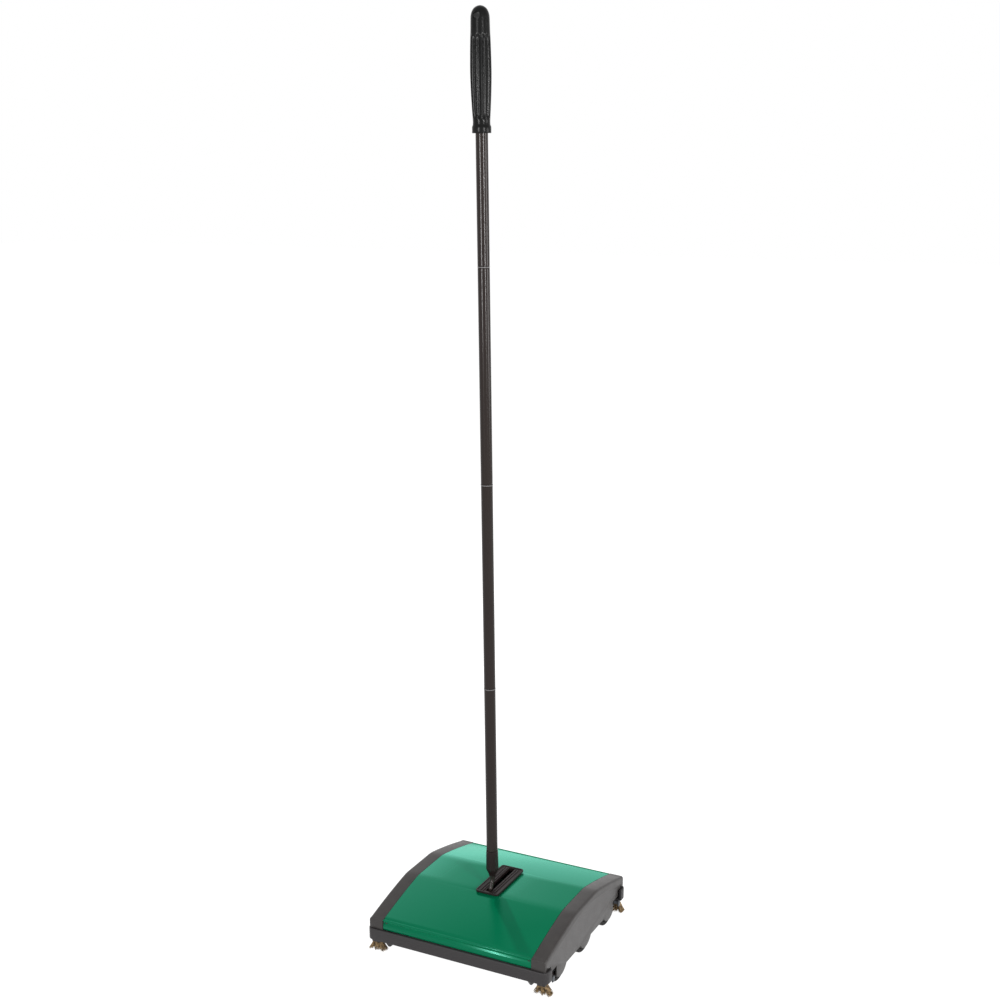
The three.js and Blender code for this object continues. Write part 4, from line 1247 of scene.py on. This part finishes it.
# %% Ferrule
FERRULE_RADIUS = (ferrule_high.x - ferrule_low.x) / 2
foot = along_axis(ferrule_low.z) + 0.2 * MM
BAIL_RADIUS = 2.8 * MM
outside = curved([
    (BAIL_RADIUS + 1.4 * MM, foot), (BAIL_RADIUS + 1.7 * MM, foot + 2.2 * MM),
    (FERRULE_RADIUS - 1.6 * MM, foot + 6.0 * MM), (FERRULE_RADIUS - 0.3 * MM, foot + 9.0 * MM),
    (FERRULE_RADIUS, foot + 11.5 * MM), (FERRULE_RADIUS - 0.1 * MM, foot + 14.5 * MM),
    (TUBE_RADIUS + 0.5 * MM, ferrule_top - 4 * MM), (TUBE_RADIUS + 0.3 * MM, ferrule_top - 0.6 * MM),
    (TUBE_RADIUS + 0.1 * MM, ferrule_top),
])
ferrule = spun("handle_ferrule", ring([
    (BAIL_RADIUS + 0.3 * MM, foot), *outside, (TUBE_RADIUS - TUBE_WALL, ferrule_top),
    (TUBE_RADIUS - TUBE_WALL, ferrule_top - 12.6 * MM),
    (BAIL_RADIUS + 0.3 * MM, ferrule_top - 12.6 * MM),
]), 64)
finish(onto_handle(ferrule), "handle", slot_plastic, "black_plastic", "ferrule")

# %% [markdown]
# ## Bail
# A cranked steel rod joins the ferrule to the pin low in the head. Straight cylinders would break at the
# bends. So a chain of points is drawn along its route, turned into a curve, given a round section and
# turned back into a mesh. Its eye is a turned sleeve.

# %% Bail rod and eye
pin_middle = middle_of("bail_pin")
BEND = Vector((0, -27.5 * MM, 66 * MM))
foot_point = axis_foot + axis_direction * (foot - 5 * MM)
seat_point = axis_foot + axis_direction * (foot + 19 * MM)
corner_run = [
    pin_middle, pin_middle.lerp(BEND, 0.45), pin_middle.lerp(BEND, 0.87),
    BEND.lerp(foot_point, 0.05) + Vector((0, 0.5 * MM, 0)), BEND.lerp(foot_point, 0.4),
    foot_point.lerp(BEND, 0.3), foot_point.lerp(seat_point, 0.02), foot_point.lerp(seat_point, 0.3),
    seat_point,
]
route = curved([tuple(point) for point in corner_run], 6)
rod = drawn("bail_rod", route)
leave_edit()
activate(rod)
bpy.ops.object.convert(target="CURVE")
rod = bpy.context.object
rod.data.bevel_depth = BAIL_RADIUS
rod.data.bevel_resolution = 6
rod.data.use_fill_caps = True
bpy.ops.object.convert(target="MESH")
rod = bpy.context.object
eye_low, eye_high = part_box("bail_arm")
EYE_RADIUS = 6 * MM
eye_half = (eye_high.x - eye_low.x) / 2
eye = spun("bail_eye", ring([
    (2.3 * MM, -eye_half), (EYE_RADIUS - 0.6 * MM, -eye_half), (EYE_RADIUS, 0.6 * MM - eye_half),
    (EYE_RADIUS, eye_half - 0.6 * MM), (EYE_RADIUS - 0.6 * MM, eye_half), (2.3 * MM, eye_half),
]), 48)
laid_across(eye, location=pin_middle)
bail = merged("cranked_bail", [rod, eye])
finish(bail, "handle", tube_enamel, "black_tube", "bail_arm")

# %% [markdown]
# ## Hand grip
# A soft moulded grip with a flared collar, a waist of vertical flutes and a plain domed end that is
# pierced for a hook. Cutting each flute out would leave hard ends. So the grip is spun with many steps,
# and each lane of a flute is then drawn in by an amount that fades out at both ends.

# %% Grip body
GRIP_RADIUS = (grip_high.x - grip_low.x) / 2
grip_bottom = along_axis(grip_low.z) + 0.25 * MM
grip_top = along_axis(grip_high.z) - 0.05 * MM
grip_span = grip_top - grip_bottom
FLUTES = 12
LANES = 8
FLUTE_DEPTH = 1.9 * MM
FLUTE_LOW, FLUTE_HIGH = 0.115, 0.775
grip_bore = TUBE_RADIUS + 0.3 * MM


def grip_at(share, size):
    return (GRIP_RADIUS * size, grip_bottom + grip_span * share)


collar_part = [grip_at(0.0, 0.885), grip_at(0.004, 0.905), grip_at(0.047, 0.905), grip_at(0.056, 0.885)]
waist = curved([
    grip_at(0.064, 0.835), grip_at(0.085, 0.815), grip_at(0.13, 0.835), grip_at(0.22, 0.895),
    grip_at(0.34, 0.96), grip_at(0.48, 0.995), grip_at(0.62, 0.975), grip_at(0.72, 0.945),
    grip_at(0.785, 0.92), grip_at(0.83, 0.905), grip_at(0.88, 0.895), grip_at(0.92, 0.87),
    grip_at(0.952, 0.77), grip_at(0.977, 0.59), grip_at(0.992, 0.35), grip_at(0.998, 0.16),
    grip_at(1.0, 0.0),
], 6)
bore_top = grip_top - 31 * MM
grip = spun("fluted_grip", [
    (0, bore_top), (grip_bore, bore_top), (grip_bore, grip_bottom), *collar_part, *waist,
], FLUTES * LANES)
print("grip length in mm:", round(grip_span / MM, 1))

# %% Flutes
flute_bottom = grip_bottom + grip_span * FLUTE_LOW
flute_top = grip_bottom + grip_span * FLUTE_HIGH
FLUTE_FADE = 5 * MM


def flute_depth(lane, height):
    phase = 0.5 - 0.5 * math.cos(2 * math.pi * lane / LANES)
    ends = min((height - flute_bottom) / FLUTE_FADE, (flute_top - height) / FLUTE_FADE, 1.0)
    return FLUTE_DEPTH * phase ** 0.8 * max(0.0, ends) ** 0.5


def lane_of(vert):
    step = math.atan2(vert.co.y, vert.co.x) / (2 * math.pi / (FLUTES * LANES))
    return round(step) % LANES


edit(grip)
mesh = bmesh.from_edit_mesh(grip.data)
for vert in mesh.verts:
    radius = math.hypot(vert.co.x, vert.co.y)
    if radius < grip_bore + 0.5 * MM or not flute_bottom < vert.co.z < flute_top:
        continue
    shrink = 1 - flute_depth(lane_of(vert), vert.co.z) / radius
    vert.co.x *= shrink
    vert.co.y *= shrink
bmesh.update_edit_mesh(grip.data)
leave_edit()
print("flutes in the grip:", FLUTES)

# %% Hanging hole
deselect()
HANG_HOLE_RADIUS = 4.4 * MM
HANG_HOLE_DROP = 11 * MM
bpy.ops.mesh.primitive_cylinder_add(
    vertices=48, radius=HANG_HOLE_RADIUS, depth=60 * MM,
    location=(0, 0, grip_top - HANG_HOLE_DROP), rotation=(math.pi / 2, 0, 0),
)
cut_by(grip, bpy.context.object)
finish(onto_handle(grip), "handle", grip_rubber, "black_rubber", "hand_grip", angle=50)

# %% [markdown]
# ## Inner pieces
# Side frames, roller housing, brackets, axles, screws and springs keep their CAD shape. They sit in the
# dark under the cover, so a proper finish is all that they need. The side frames' near-black colour is
# painted shade that stands for that dark.

# %% Finishes for the CAD pieces that stay
KEPT = {
    "side_frame": frame_painted_shade, "bail_bracket": bright_steel, "bail_pin": bright_steel,
    "axle": bright_steel, "cap_screw": bright_steel, "pan_spring": bright_steel,
    "roller_housing": pan_plastic,
}
for name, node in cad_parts.items():
    for start, material in KEPT.items():
        if name.startswith(start):
            node.data.materials.clear()
            node.data.materials.append(material)
print("kinds of kept pieces:", len(KEPT))

# %% [markdown]
# ## Clearing up
# The selection is cleared at the end.
# The visual model must stay inside the CAD model's box, so both boxes are written down and compared.

# %% Clear the selection
deselect()
